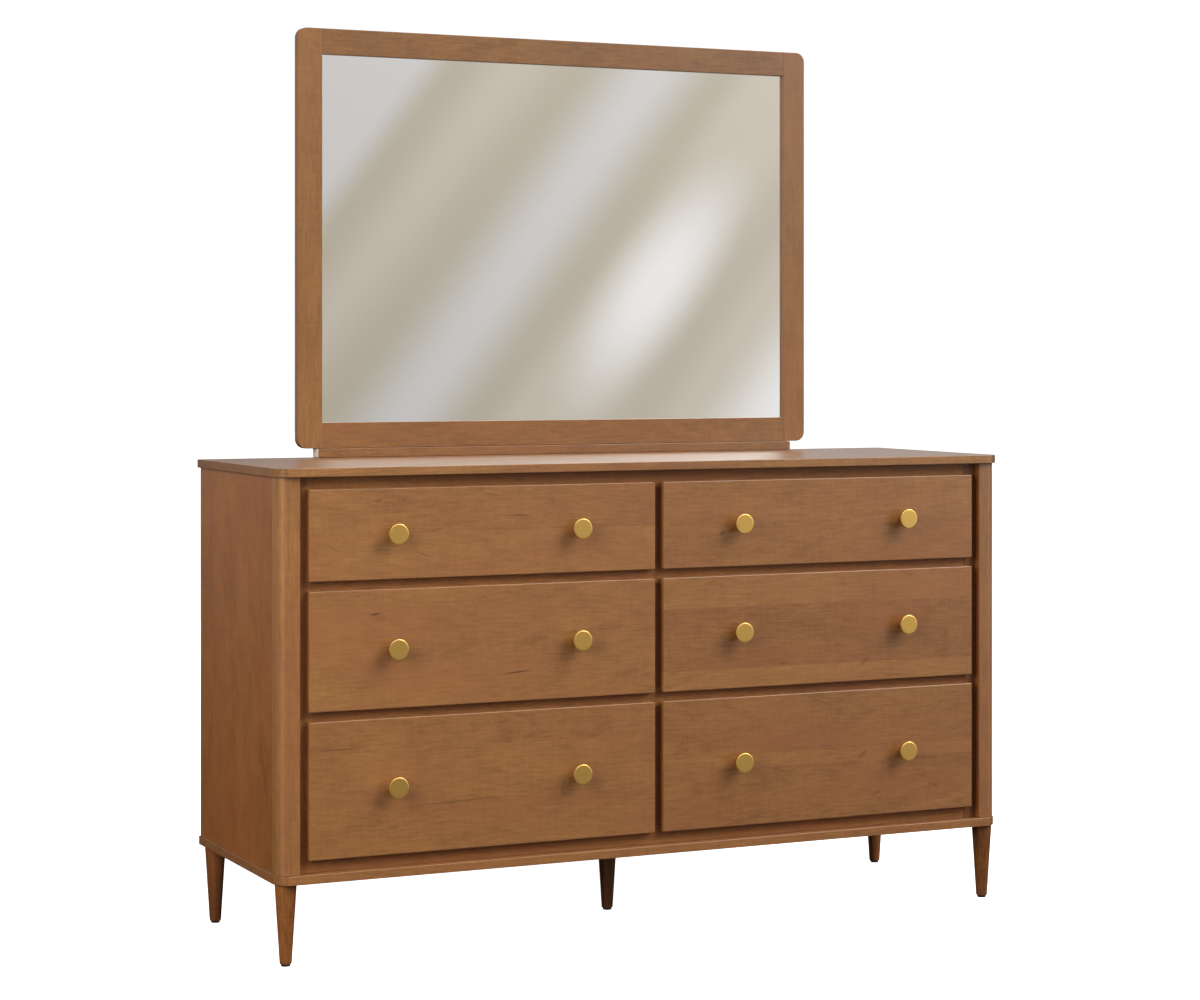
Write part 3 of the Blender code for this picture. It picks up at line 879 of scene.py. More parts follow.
def level_cut(tone: float = 0.0) -> Cut:
    """Give the cut of a narrow board that lies level."""
    return Cut("XZY", tones=(tone,))


@dataclass
class Assembly:
    """A part of the dresser that is built as one.

    Attributes:
        finishes: The materials.
    """

    finishes: Finishes


@dataclass
class Case(Assembly):
    """Top, base, end panels, posts, back panel and rear rail.

    Attributes:
        corner: Radius of the top's and base's front corners.
        corner_steps: Faces round such a corner.
        facets: Sides of a bored hole.
        post_radius: Radius of a post's outer corner.
        post_steps: Faces round that corner.
        post_tones: Shade of the left and the right post; the right one darker, a painted shade for the dark
            reflection down its round.
        ease: Softened edge of the top and base.
        post_ease: Softened edge of the posts and end panels.
        rail_ease: Softened edge of the rear rail.
        lipping: Thickness of the strip on the front edge of the top and base.
        glue: Where the strips of the top, the base and an end panel meet, behind the lipping.
        tones: Shade of each strip; in the top and base the lipping's comes first.
    """

    corner: float = 0.031
    corner_steps: int = 18
    facets: int = 48
    post_radius: float = 0.020
    post_steps: int = 14
    # the right post is darker: painted shade
    post_tones: Pair = (0.0, -0.6)
    ease: float = 0.0010
    post_ease: float = 0.0006
    rail_ease: float = 0.0008
    lipping: float = 0.0020
    glue: Strips = field(default_factory=lambda: {
        "top": (-0.158, -0.062, 0.031, 0.136),
        "base": (-0.140, -0.020, 0.095),
        "end": (-0.128, -0.055, 0.012, 0.086, 0.158),
    })
    tones: Strips = field(default_factory=lambda: {
        # the top's strips lie darker than its lipping: painted shade against the light on the upward face
        "top": (0.5, -1.7, -1.4, -1.9, -1.5, -2.0),
        "base": (0.2, -1.2, -1.3, -1.5, -1.3),
        "end": (-0.9, -0.3, 0.2, -0.1, 0.15, -0.3),
    })

    def build(self) -> None:
        """Build and dress every board of the case."""
        self.slab("top", self.finishes.top)
        self.slab("base", self.finishes.maple)
        for side, sign in SIDES:
            self.end_panel(side)
            self.post(side, sign)
        back = Piece.like("back_board", "back_panel").eased(PLY_EASE, 1).grained(upright_cut(-0.2))
        back.dressed(self.finishes.plywood, Slot.PLYWOOD, "back_panel")
        rail = Piece.like("rear_top_rail", "rear_rail").eased(self.rail_ease, 2).smooth()
        rail.grained(level_cut()).dressed(self.finishes.maple, Slot.MAPLE, "rear_rail")

    def slab(self, level: str, finish: Material) -> None:
        """Build the top or the base, with its two round front corners.

        Args:
            level: "top" or "base".
            finish: Its material.
        """
        node = level + "_panel"
        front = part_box(node)[0].y
        board = Piece.like(level + "_board", node)
        board.rounded(runs("Z", y=front), self.corner, self.corner_steps).eased(self.ease)
        if level == "base":
            for leg in LEGS:
                self.bore(board, "leg_" + leg)
        glue = (front + self.lipping, *self.glue[level])
        board.smooth().grained(Cut("XYZ", glue, self.tones[level])).dressed(finish, Slot.MAPLE, node)

    def bore(self, board: Piece, leg: str) -> None:
        """Bore the base for a leg's tenon.

        Args:
            board: The base.
            leg: CAD node of the leg.
        """
        low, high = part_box(leg)
        radius, spot = Legs.tenon[0] + GAP, centre_of(leg)
        tool = Piece.turned("tool", [(radius, low.z), (radius, high.z + GAP)], self.facets)
        board.cut(tool.moved((spot.x, spot.y, 0)))

    def end_panel(self, side: str) -> None:
        """Build one end panel of upright strips, with the rabbet that takes the back.

        Args:
            side: "left" or "right".
        """
        node = "side_panel_" + side
        low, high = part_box("back_panel")
        room = Vector((GAP, GAP, PASS))
        panel = Piece.like("end_panel_" + side, node).eased(self.post_ease)
        panel.cut_block(low - room, high + room).smooth()
        panel.grained(Cut("ZYX", self.glue["end"], self.tones["end"], 0.03))
        panel.dressed(self.finishes.ends, Slot.MAPLE, node)

    def post(self, side: str, sign: int) -> None:
        """Build one front post, round on its outer corner.

        Args:
            side: "left" or "right".
            sign: -1 on the left, 1 on the right.
        """
        node = "front_post_" + side
        low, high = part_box(node)
        corner = runs("Z", x=high.x if sign > 0 else low.x, y=low.y)
        post = Piece.like("corner_post_" + side, node)
        post.rounded(corner, self.post_radius, self.post_steps).eased(self.post_ease).smooth()
        post.grained(upright_cut(self.post_tones[sign > 0]))
        post.dressed(self.finishes.maple, Slot.MAPLE, node)


@dataclass
class FaceFrame(Assembly):
    """Rails and stiles round the drawer openings.

    Attributes:
        ease: Softened edge of each member.
        depth: Front to back of each member.
        stile_half: Half the width of the centre stile.
        rail_tone: Shade of the rails.
        outer_tones: Painted light and shade of the left and the right outer stile: the left one paler,
            the right one darker where the post shades the gap. centre_tone: Painted shade of the centre
            stiles, deep in the gap between the columns.
        centre_tone: Shade of the centre stiles.
    """

    ease: float = 0.0006
    depth: float = 0.020
    stile_half: float = 0.01875
    rail_tone: float = 0.1
    # the stiles show in the gaps beside the fronts: painted light at the left, painted shade at the right
    # and in the middle
    outer_tones: Pair = (1.5, -4.0)
    centre_tone: float = -3.2

    def build(self) -> None:
        """Build the four rails, the outer stiles and the three short centre stiles."""
        rails = ["face_rail_" + level for level in ("top", "upper", "lower", "bottom")]
        for node in rails:
            rail = Piece.like(node.replace("face", "front"), node).eased(self.ease, 2).smooth()
            rail.grained(level_cut(self.rail_tone)).dressed(self.finishes.rails, Slot.MAPLE, node)
        low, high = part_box("runner_board_left")
        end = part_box(rails[0])[0].x - GAP
        for (side, sign), tone in zip(SIDES, self.outer_tones):
            width = sorted((-sign * low.x, -sign * end))
            self.stile("outer_stile_" + side, width, (low.z, high.z), tone)
        for above, below, row in zip(rails, rails[1:], ROWS):
            levels = (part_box(below)[1].z + GAP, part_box(above)[0].z - GAP)
            width = (-self.stile_half, self.stile_half)
            self.stile("centre_stile_" + row, width, levels, self.centre_tone)

    def stile(self, name: str, width: Sequence[float], levels: Pair, tone: float) -> None:
        """Build one stile.

        Args:
            name: Name of the piece.
            width: X of its two edges.
            levels: Level of its two ends.
            tone: Its shade: painted light and shade for the gap it stands in.
        """
        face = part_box("face_rail_top")[0].y
        low, high = (width[0], face, levels[0]), (width[1], face + self.depth, levels[1])
        stile = Piece.block(name, low, high).eased(self.ease, 2).smooth()
        stile.grained(upright_cut(tone)).dressed(self.finishes.rails, Slot.MAPLE)


@dataclass
class Runners(Assembly):
    """Boards beside the drawers and the ribs that the drawers slide on.

    Attributes:
        board: Thickness of each board.
        height: Height of a rib.
        bite: How far a rib reaches past the wall of the drawer box.
        nose: Radius of a rib's front corner.
        ease: Softened edge of the boards.
        rib_ease: Softened edge of the ribs.
        glue: Where the strips of an outer board and of the centre board meet.
        tones: Shade of each of those strips.
    """

    board: float = 0.018
    height: float = 0.014
    bite: float = 0.006
    nose: float = 0.003
    ease: float = 0.0006
    rib_ease: float = 0.0005
    glue: Strips = field(default_factory=lambda: {
        "outer": (0.36, 0.55, 0.72), "centre": (0.33, 0.52, 0.70),
    })
    tones: Strips = field(default_factory=lambda: {
        "outer": (0.1, -0.2, 0.2, 0.0), "centre": (-0.1, 0.2, -0.2, 0.1),
    })

    def build(self) -> None:
        """Build the two outer boards, the centre board and twelve ribs."""
        start, opening = self.start(), abs(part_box("face_rail_top")[0].x) + GAP
        for side, sign in SIDES:
            node = "runner_board_" + side
            low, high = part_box(node)
            near, far = sorted((sign * opening, sign * (opening + self.board)))
            board = Piece.block("runner_panel_" + side, (near, start, low.z), (far, high.y, high.z))
            self.dress(board.eased(self.ease, 2), "outer", node)
            self.ribs("outer_" + side, sign * opening, -sign, side)
        low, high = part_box("centre_partition")
        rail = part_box("rear_rail")[0]
        half = self.board / 2
        board = Piece.block("centre_panel", (-half, start, low.z), (half, high.y, high.z))
        board.cut_block((-PASS - half, rail.y - GAP, rail.z - GAP),
                        (PASS + half, high.y + PASS, high.z + PASS))
        self.dress(board, "centre", "centre_partition")
        for side, sign in SIDES:
            self.ribs("centre_" + side, sign * half, sign, side)

    def start(self) -> float:
        """Find where the boards and ribs begin, behind the face frame."""
        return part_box("face_rail_top")[0].y + FaceFrame.depth + GAP

    def dress(self, board: Piece, place: str, node: str) -> None:
        """Dress an outer board or the centre board."""
        board.smooth().grained(Cut("YZX", self.glue[place], self.tones[place]))
        board.dressed(self.finishes.birch, Slot.MAPLE, node)

    def ribs(self, name: str, plane: float, sign: int, column: str) -> None:
        """Build the three ribs on one face of a board.

        Args:
            name: Start of each rib's name.
            plane: X of the board's face.
            sign: Side of that face on which the ribs stand.
            column: Column of drawers that they carry.
        """
        start, back = self.start(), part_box("back_panel")[0].y - 2 * GAP - PASS
        box_low, box_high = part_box(f"drawer_box_{column}_top")
        wall = box_high.x if plane > box_high.x else box_low.x
        tip = wall + sign * self.bite
        near, far = sorted((plane + sign * HAIR, tip))
        for row in ROWS:
            top = centre_of(f"drawer_box_{column}_{row}").z + self.height / 2
            rib = Piece.block(f"rib_{name}_{row}", (near, start, top - self.height), (far, back, top))
            rib.rounded(runs("Z", x=tip, y=start), self.nose, 4).eased(self.rib_ease, 2).smooth()
            rib.grained(Cut("YXZ", tones=(0.4,))).dressed(self.finishes.birch, Slot.MAPLE)


@dataclass
class Legs(Assembly):
    """Five tapered legs, each with a tenon above and a glide under its foot.

    Attributes:
        facets: Sides of each ring.
        radii: Radius under the base and at the foot.
        foot_round: Radius of the foot's edge.
        edges: Softened edge of the shoulder, its step inwards, and the tenon's tip.
        tenon: Radius and length of the tenon.
        glide: Radius of the glide and its softened edge.
        glide_share: Share of that edge which its first facet takes.
        tones: Shade of each leg: painted shade, darker for the legs under the base and turned from the
            light.
    """

    facets: int = 64
    radii: Pair = (0.0203, 0.0110)
    foot_round: float = 0.0025
    edges: Triple = (0.0004, 0.0005, 0.001)
    tenon: Pair = (0.0100, 0.0110)
    glide: Pair = (0.0085, 0.0008)
    glide_share: float = 0.3
    # the back legs, the centre one and the front right one are darker: painted shade under the base
    tones: tuple[float, ...] = (-1.1, -2.4, -3.4, -1.5, -2.6)

    def build(self) -> None:
        """Turn one leg and one glide, and copy them to the five places."""
        leg = Piece.turned("pattern_leg", self.leg_rings(), self.facets)
        glide = Piece.turned("pattern_glide", self.glide_rings(), self.facets // 2)
        for name, tone in zip(LEGS, self.tones):
            spot = centre_of("leg_" + name)
            place = (spot.x, spot.y, 0)
            made = leg.copy("tapered_leg_" + name, place).smooth().grained(upright_cut(tone))
            made.dressed(self.finishes.legs, Slot.MAPLE, "leg_" + name)
            foot = glide.copy("foot_glide_" + name, place).smooth()
            foot.dressed(self.finishes.nylon, Slot.NYLON, "glide_" + name)
        leg.discard()
        glide.discard()

    def leg_rings(self) -> list[Pair]:
        """List the leg's rings.

        Returns:
            Radius and height of each ring, from foot to tenon.
        """
        low, high = (corner.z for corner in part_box("leg_centre"))
        (top, foot), (radius, length) = self.radii, self.tenon
        rings = [(foot - self.foot_round + out, low + up) for out, up in arc(QUARTER, self.foot_round)]
        shoulder, (ease, step, tip) = high - length, self.edges
        return rings + [
            (top - ease, shoulder - ease), (top - step, shoulder), (radius, shoulder),
            (radius, high - tip), (radius - tip, high),
        ]

    def glide_rings(self) -> list[Pair]:
        """List the glide's rings.

        Returns:
            Radius and height of each ring, from the floor up.
        """
        low, high = (corner.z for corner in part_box("glide_centre"))
        radius, edge = self.glide
        part = edge * self.glide_share
        return [(radius - edge, low), (radius - part, low + part), (radius, low + edge), (radius, high)]


@dataclass
class Drawers(Assembly):
    """Six drawers: a front of glued strips, a dovetailed box and two turned knobs.

    Attributes:
        ease: Softened edge of the fronts.
        wall: Thickness of the box's walls.
        floor: Thickness of its floor.
        floor_raise: Level of the floor's underside above the walls' lower edge.
        housing: How far the floor reaches into the walls.
        tail_pitch: About how far apart the dovetails stand.
        pin: Width of a pin at the inside of the joint.
        flare: How much wider a tail is at its end than at its root.
        joint_room: Room between a tail and a pin.
        rib_room: Room under a rib in its groove.
        rib_reach: Depth of the groove that takes a rib.
        knob_disc: Thickness of a knob's disc, and the radius of its rim.
        knob_stem: Radius of a knob's foot and of its stem.
        knob_heights: Where the foot's edge starts and ends, and where the stem starts.
        knob_edges: Softened edge of the foot, of the stem's end and round the disc's face.
        knob_facets: Sides of each ring.
        glue: How far below a front's top its strips meet.
        tones: Shade of each strip of a front, from the top down.
    """

    ease: float = 0.0016
    wall: float = 0.0127
    floor: float = 0.0064
    floor_raise: float = 0.010
    housing: float = 0.005
    tail_pitch: float = 0.042
    pin: float = 0.015
    flare: float = 0.0042
    joint_room: float = 0.0002
    rib_room: float = 0.001
    rib_reach: float = 0.0068
    knob_disc: Pair = (0.0072, 0.0016)
    knob_stem: Pair = (0.0085, 0.0060)
    knob_heights: Triple = (0.0012, 0.0020, 0.0034)
    knob_edges: Triple = (0.0008, 0.001, 0.002)
    knob_facets: int = 72
    glue: Strips = field(default_factory=lambda: {
        "left_top": (0.082,), "left_middle": (0.034, 0.135), "left_bottom": (0.060, 0.158),
        "right_top": (0.090,), "right_middle": (0.060, 0.179), "right_bottom": (0.112, 0.137),
    })
    tones: Strips = field(default_factory=lambda: {
        "left_top": (-0.3, 0.5), "left_middle": (0.0, 0.1, 0.4), "left_bottom": (-0.4, 0.2, 0.0),
        "right_top": (-0.3, -0.4), "right_middle": (0.5, -1.2, 0.8),
        "right_bottom": (-0.6, 0.4, -0.5),
    })

    def build(self) -> None:
        """Build the six drawers: the right-hand boxes are copies of the left-hand ones."""
        pattern = self.knob()
        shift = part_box("drawer_box_right_top")[0].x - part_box("drawer_box_left_top")[0].x
        for row in ROWS:
            boards = self.box("left", row)
            for column, offset in (("left", 0.0), ("right", shift)):
                name = f"{column}_{row}"
                body = "drawer_" + name
                self.front(name, body)
                self.fit_box(boards, name, body, offset)
                for side in COLUMNS:
                    node = f"knob_{name}_{side}"
                    spot = centre_of(node)
                    knob = pattern.copy("round_" + node, (spot.x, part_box(node)[1].y, spot.z))
                    knob.smooth(30).dressed(self.finishes.brass, Slot.BRASS, node, body=body)
            for board, *_ in boards:
                board.discard()
        pattern.discard()

    def front(self, name: str, body: str) -> None:
        """Build one drawer front, its strips lying level.

        Args:
            name: Column and row of the drawer.
            body: Body that it rides on.
        """
        node = "drawer_front_" + name
        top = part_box(node)[1].z
        glue = tuple(sorted(top - below for below in self.glue[name]))
        front = Piece.like("front_board_" + name, node).eased(self.ease, 4).smooth()
        front.grained(Cut("XZY", glue, tuple(reversed(self.tones[name]))))
        front.dressed(self.finishes.fronts, Slot.MAPLE, node, body=body)

    def knob(self) -> Piece:
        """Turn one knob: a flat disc with a softened rim on a waisted stem.

        Returns:
            The pattern knob, its foot at Y = 0 and its face towards -Y.
        """
        low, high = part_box("knob_left_top_left")
        reach, radius = high.y - low.y, (high.x - low.x) / 2
        (disc, rim), (foot, stem) = self.knob_disc, self.knob_stem
        (edge, fillet, border), (sole, heel, waist) = self.knob_edges, self.knob_heights
        shoulder, flat = reach - disc, radius - rim
        rings = [(foot, 0.0), (foot, sole), (foot - edge, heel), (stem, waist),
                 (stem, shoulder - fillet), (stem + fillet, shoulder), (flat, shoulder)]
        rings += [(flat + out, shoulder + up) for out, up in arc((30, 60, 90), rim)]
        rings += [(radius - up, reach - rim + out) for out, up in arc(QUARTER, rim)]
        knob = Piece.turned("pattern_knob", rings + [(flat - border, reach)], self.knob_facets)
        knob.item.rotation_euler.x = math.radians(90)
        return knob.settle()

    def box(self, column: str, row: str) -> list[tuple[Piece, str, Cut]]:
        """Build the five boards of one box.

        Args:
            column: Column of the drawer.
            row: Row of the drawer.

        Returns:
            Each board with its name and how it was sawn.
        """
        low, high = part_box(f"drawer_box_{column}_{row}")
        centre = (low.x + high.x) / 2
        inner = (high.x - low.x) / 2 - self.wall
        root, rear, base = low.y + self.wall, high.y - self.wall, low.z + self.floor_raise
        reach = inner + self.housing
        floor = (Vector((centre - reach, root - self.housing, base)),
                 Vector((centre + reach, rear + self.housing, base + self.floor)))
        room = Vector((GAP, GAP, GAP / 2))
        panel = Piece.block("pattern_floor", floor[0] + room, floor[1] - room)
        tails = max(3, round((high.z - low.z) / self.tail_pitch))
        boards = []
        for side, sign in SIDES:
            face = centre + sign * (inner + self.wall)
            near, far = sorted((centre + sign * inner, face))
            board = Piece.block("pattern_" + side, (near, root, low.z), (far, high.y, high.z))
            self.add_tails(board, root, self.tail_levels(low.z, high.z, tails))
            self.cut_rib_groove(board, face, sign, low, high)
            boards.append((board.cut_block(*floor), "side_" + side, Cut("YZX", rise=0.03)))
        front = Piece.block("pattern_front", (centre - inner, low.y, low.z), (centre + inner, root, high.z))
        for sign in (-1, 1):
            self.add_pins(front, centre + sign * inner, sign, root, self.tail_levels(low.z, high.z, tails))
        back = Piece.block("pattern_back", (centre - inner, rear, low.z), (centre + inner, high.y, high.z))
        boards.append((front.cut_block(*floor), "inner_front", level_cut()))
        boards.append((back.cut_block(*floor), "back", level_cut()))
        boards.append((panel, "floor", Cut("XYZ", rise=0.01)))
        return boards

    def tail_levels(self, low: float, high: float, tails: int) -> list[Pair]:
        """Find each tail's middle level and its width at the root."""
        pitch = (high - low) / tails
        return [(low + pitch * (index + 0.5), pitch - self.pin) for index in range(tails)]

    def add_tails(self, board: Piece, root: float, levels: list[Pair]) -> None:
        """Extrude flared tails from the front end of a side board.

        Args:
            board: The side board, which ends at the root of the joint.
            root: Y of that end.
            levels: Each tail's middle level and its width at the root.
        """
        for level, width in levels:
            for edge in (level - width / 2, level + width / 2):
                board.score(lies(y=root), (0, 0, edge), unit("Z"))
        for level, width in levels:
            board.push(lies(y=root, z=level), (0, -self.wall, 0))
            bpy.ops.transform.resize(value=(1, 1, 1 + self.flare / width),
                                     center_override=(0, root, level))
            board.leave()

    def add_pins(self, board: Piece, end: float, sign: int, root: float, levels: list[Pair]) -> None:
        """Extrude the pins that fill the room between the tails, at one end of a board.

        Args:
            board: The box's front board, which ends at the inside of the sides.
            end: X of that end.
            sign: Which end it is.
            root: Y at which the tails start.
            levels: Each tail's middle level and its width at the root.
        """
        for level, width in levels:
            for way in (-1, 1):
                edge = level + way * (width / 2 + self.joint_room)
                slope = Vector((0, way * self.flare / 2, self.wall)).normalized()
                board.score(lies(x=end), (0, root, edge), slope)
        half = levels[0][1] / 2
        at_end = lies(x=end)
        board.push(lambda spot, facing: at_end(spot, facing)
                   and all(abs(spot.z - level) > half for level, _ in levels), (sign * self.wall, 0, 0))
        board.leave()

    def cut_rib_groove(self, board: Piece, face: float, sign: int, low: Vector, high: Vector) -> None:
        """Cut the stopped groove that runs on a rib.

        Args:
            board: The side board.
            face: X of its outer face.
            sign: Which side it is.
            low: Lowest corner of the box.
            high: Highest corner of the box.
        """
        half = Runners.height / 2
        level = (low.z + high.z) / 2
        near, far = sorted((face + sign * PASS, face - sign * self.rib_reach))
        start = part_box("face_rail_top")[1].y - PASS
        board.cut_block((near, start, level - half - self.rib_room),
                        (far, high.y + PASS, level + half + GAP))

    def fit_box(self, boards: list[tuple[Piece, str, Cut]], name: str, body: str, offset: float) -> None:
        """Copy a box's boards into one drawer and dress them.

        Args:
            boards: Each pattern board with its name and how it was sawn.
            name: Column and row of the drawer.
            body: Body that the drawer rides on.
            offset: Shift along X from the pattern.
        """
        for board, part, cut in boards:
            made = board.copy(f"box_{part}_{name}", (offset, 0, 0)).smooth().grained(cut)
            nodes = ["drawer_box_" + name] if part == "inner_front" else []
            if part == "floor":
                made.dressed(self.finishes.plywood, Slot.PLYWOOD, *nodes, body=body)
            else:
                made.dressed(self.finishes.birch, Slot.BIRCH, *nodes, body=body)


@dataclass
class Mirror(Assembly):
    """Mirror frame, glass, backing, foot rail and the two supports behind.

    Attributes:
        corner: Radius of the frame's outer corners.
        corner_steps: Faces round such a corner.
        ease: Softened edge of the frame.
        member: Width of a stile or rail.
        rebate: Width of the ledge behind the glass.
        recess: Frame's front down to the glass.
        tenon: Length, thickness and height of each tenon.
        support_corner: Radius of the supports' corners.
        stile_tone: Shade of the stiles.
        rail_tone: Shade of the rails and the foot, darker than the stiles: painted shade against the light
            that the top throws up at them.
    """

    corner: float = 0.019
    corner_steps: int = 14
    ease: float = 0.0010
    member: float = 0.0506
    rebate: float = 0.009
    recess: float = 0.008
    tenon: Triple = (0.025, 0.0065, 0.028)
    support_corner: float = 0.012
    stile_tone: float = 0.3
    # the rails and the foot sit darker than the stiles: painted shade against the light thrown up by the top
    rail_tone: float = -0.8

    def build(self) -> None:
        """Build and dress every piece of the mirror."""
        for side, sign in SIDES:
            self.stile(side, sign)
            self.support(side)
        for level, way in (("top", -1), ("bottom", 1)):
            self.rail(level, way)
        foot = Piece.like("mirror_foot", "mirror_foot_rail").eased(self.ease).smooth()
        foot.grained(level_cut(self.rail_tone))
        foot.dressed(self.finishes.frame, Slot.MAPLE, "mirror_foot_rail")
        # the foot's ends: bare end grain, its pale colour partly a painted reflection of the white backdrop
        foot.end_grain(self.finishes.bare, "X")
        backing = Piece.like("mirror_back_board", "mirror_backing").eased(PLY_EASE, 1)
        backing.grained(Cut("XZY", rise=0.01))
        backing.dressed(self.finishes.plywood, Slot.PLYWOOD, "mirror_backing")
        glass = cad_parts["mirror_glass"]
        glass.data.materials.clear()
        glass.data.materials.append(self.finishes.mirror)

    def tongue(self, way: int, ends: Pair, room: float) -> tuple[Triple, Triple]:
        """Find the corners of a tenon, or with room round it of its mortise.

        Args:
            way: 1 for the bottom rail, -1 for the top one.
            ends: X of its two ends.
            room: Room left round it.

        Returns:
            Lowest and highest corner.
        """
        low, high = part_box("mirror_stile_left")
        level = (low.z if way > 0 else high.z) + way * (self.member - self.rebate) / 2
        centre = (low.y + high.y) / 2
        deep, tall = self.tenon[1] / 2 + room, self.tenon[2] / 2 + room
        return (ends[0], centre - deep, level - tall), (ends[1], centre + deep, level + tall)

    def stile(self, side: str, sign: int) -> None:
        """Build one stile: round outer corners, stopped rebate and two mortises.

        Args:
            side: "left" or "right".
            sign: -1 on the left, 1 on the right.
        """
        node = "mirror_stile_" + side
        low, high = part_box(node)
        outer, inner = (high.x, low.x) if sign > 0 else (low.x, high.x)
        stile = Piece.like("mirror_side_" + side, node)
        stile.rounded(runs("Y", x=outer), self.corner, self.corner_steps).eased(self.ease)
        near, far = sorted((inner - sign * PASS, inner + sign * self.rebate))
        margin = self.member - self.rebate
        stile.cut_block((near, low.y + self.recess, low.z + margin), (far, high.y + PASS, high.z - margin))
        near, far = sorted((inner - sign * PASS, inner + sign * self.tenon[0]))
        for way in (-1, 1):
            stile.cut_block(*self.tongue(way, (near, far), GAP))
        stile.smooth().grained(upright_cut(self.stile_tone))
        stile.dressed(self.finishes.frame, Slot.MAPLE, node)

    def rail(self, level: str, way: int) -> None:
        """Build one rail: a rebate behind, and a tenon at each end.

        Args:
            level: "top" or "bottom".
            way: 1 for the bottom rail, -1 for the top one.
        """
        node = "mirror_rail_" + level
        low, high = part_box(node)
        outer = low.z if way > 0 else high.z
        inner = outer + way * self.member
        shoulder = high.x - self.tenon[0] + 2 * GAP
        near, far = sorted((inner, outer))
        rail = Piece.block("mirror_" + level, (-shoulder, low.y, near), (shoulder, high.y, far))
        near, far = sorted((inner + way * PASS, inner - way * self.rebate))
        rail.eased(self.ease).cut_block((-shoulder - PASS, low.y + self.recess, near),
                                        (shoulder + PASS, high.y + PASS, far))
        (_, front, bottom), (_, back, top) = self.tongue(way, (-high.x, high.x), 0)
        for sign in (-1, 1):
            at_end = lies(x=sign * shoulder)
            for axis, places in (("Y", (front, back)), ("Z", (bottom, top))):
                for place in places:
                    rail.score(at_end, unit(axis) * place, unit(axis))
            rail.push(lambda spot, facing: at_end(spot, facing) and front < spot.y < back
                      and bottom < spot.z < top, (sign * (high.x - shoulder), 0, 0))
            rail.leave()
        rail.smooth().grained(level_cut(self.rail_tone))
        rail.dressed(self.finishes.frame, Slot.MAPLE, node)

    def support(self, side: str) -> None:
        """Build one upright support with round corners.

        Args:
            side: "left" or "right".
        """
        node = "mirror_support_" + side
        support = Piece.like("mirror_brace_" + side, node)
        support.rounded(runs("Y"), self.support_corner, 8).eased(self.ease).smooth()
        support.grained(upright_cut(-0.3)).dressed(self.finishes.maple, Slot.MAPLE, node)


@dataclass
class Screws(Assembly):
    """Steel screws in the back, in the mirror's backing and supports, and behind each knob.

    Attributes:
        radius: Radius of a head.
        rise: Height of a head.
        dome_shares: Radius and height of its rings, as shares of the two above.
        facets: Sides of each ring.
        slot: Half the length and half the width of the cross cut in it.
        slot_share: Level of the cross's bottom, as a share of the rise.
        inset: How far a screw stands in from a board's edge.
        ledge: The same where the back panel lies in an end panel's rabbet.
        levels: Height of the back's side screws over its lower edge.
        rail_inset: How far a support's screws stand in from the rear rail's edges.
    """

    radius: float = 0.0040
    rise: float = 0.0018
    dome_shares: tuple[Pair, ...] = ((1.0, 0.0), (1.0, 0.35), (0.88, 0.7), (0.60, 0.93), (0.30, 1.0))
    facets: int = 24
    slot: Pair = (0.0024, 0.0004)
    slot_share: float = 0.4
    inset: float = 0.012
    ledge: float = 0.0045
    levels: Triple = (0.03, 0.24, 0.45)
    rail_inset: float = 0.015

    def build(self) -> None:
        """Make one head and copy it to every place."""
        pattern = self.head()
        for index, place in enumerate([*self.back(), *self.backing(), *self.supports()], 1):
            screw = pattern.copy(f"screw_{index:02d}", place).smooth(30)
            screw.dressed(self.finishes.steel, None)
        for name in (f"{column}_{row}" for column in COLUMNS for row in ROWS):
            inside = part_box("drawer_box_" + name)[0].y + Drawers.wall
            for side in COLUMNS:
                spot = centre_of(f"knob_{name}_{side}")
                place = (spot.x, inside + SEAT, spot.z)
                screw = pattern.copy(f"knob_screw_{name}_{side}", place).smooth(30)
                screw.dressed(self.finishes.steel, None, body="drawer_" + name)
        pattern.discard()

    def head(self) -> Piece:
        """Turn a low dome, cut a cross in it and face it to +Y.

        Returns:
            The pattern screw.
        """
        rings = [(self.radius * out, self.rise * up) for out, up in self.dome_shares]
        head = Piece.turned("pattern_screw", rings, self.facets)
        for x, y in (self.slot, self.slot[::-1]):
            head.cut_block((-x, -y, self.rise * self.slot_share), (x, y, self.rise + PASS))
        head.item.rotation_euler.x = math.radians(-90)
        return head.settle()

    def back(self) -> list[Triple]:
        """Place screws along the back panel's top, its sides and its middle.

        Returns:
            Place of each screw.
        """
        low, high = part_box("back_panel")
        face, reach, edge = high.y + SEAT, high.x - self.inset, high.x - self.ledge
        top = [(reach * step / 5, face, high.z - self.inset) for step in (-5, -3, -1, 1, 3, 5)]
        return top + [(x, face, low.z + rise) for x in (-edge, 0.0, edge) for rise in self.levels]

    def backing(self) -> list[Triple]:
        """Place screws round the mirror's backing, where the frame lies in front of it.

        Returns:
            Place of each screw.
        """
        low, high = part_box("mirror_backing")
        face, reach = high.y + SEAT, high.x - self.inset
        levels = (low.z + self.inset, high.z - self.inset)
        rows = [(reach * step / 3, face, level) for step in (-3, -1, 1, 3) for level in levels]
        return rows + [(x, face, (low.z + high.z) / 2) for x in (-reach, reach)]

    def supports(self) -> list[Triple]:
        """Place three screws in each support: two in the rear rail, one in the mirror frame.

        Returns:
            Place of each screw.
        """
        low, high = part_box("rear_rail")
        levels = (low.z + self.rail_inset, high.z - self.rail_inset, centre_of("mirror_rail_bottom").z)
        nodes = ["mirror_support_" + side for side in COLUMNS]
        return [(centre_of(node).x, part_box(node)[1].y + SEAT, level) for node in nodes for level in levels]


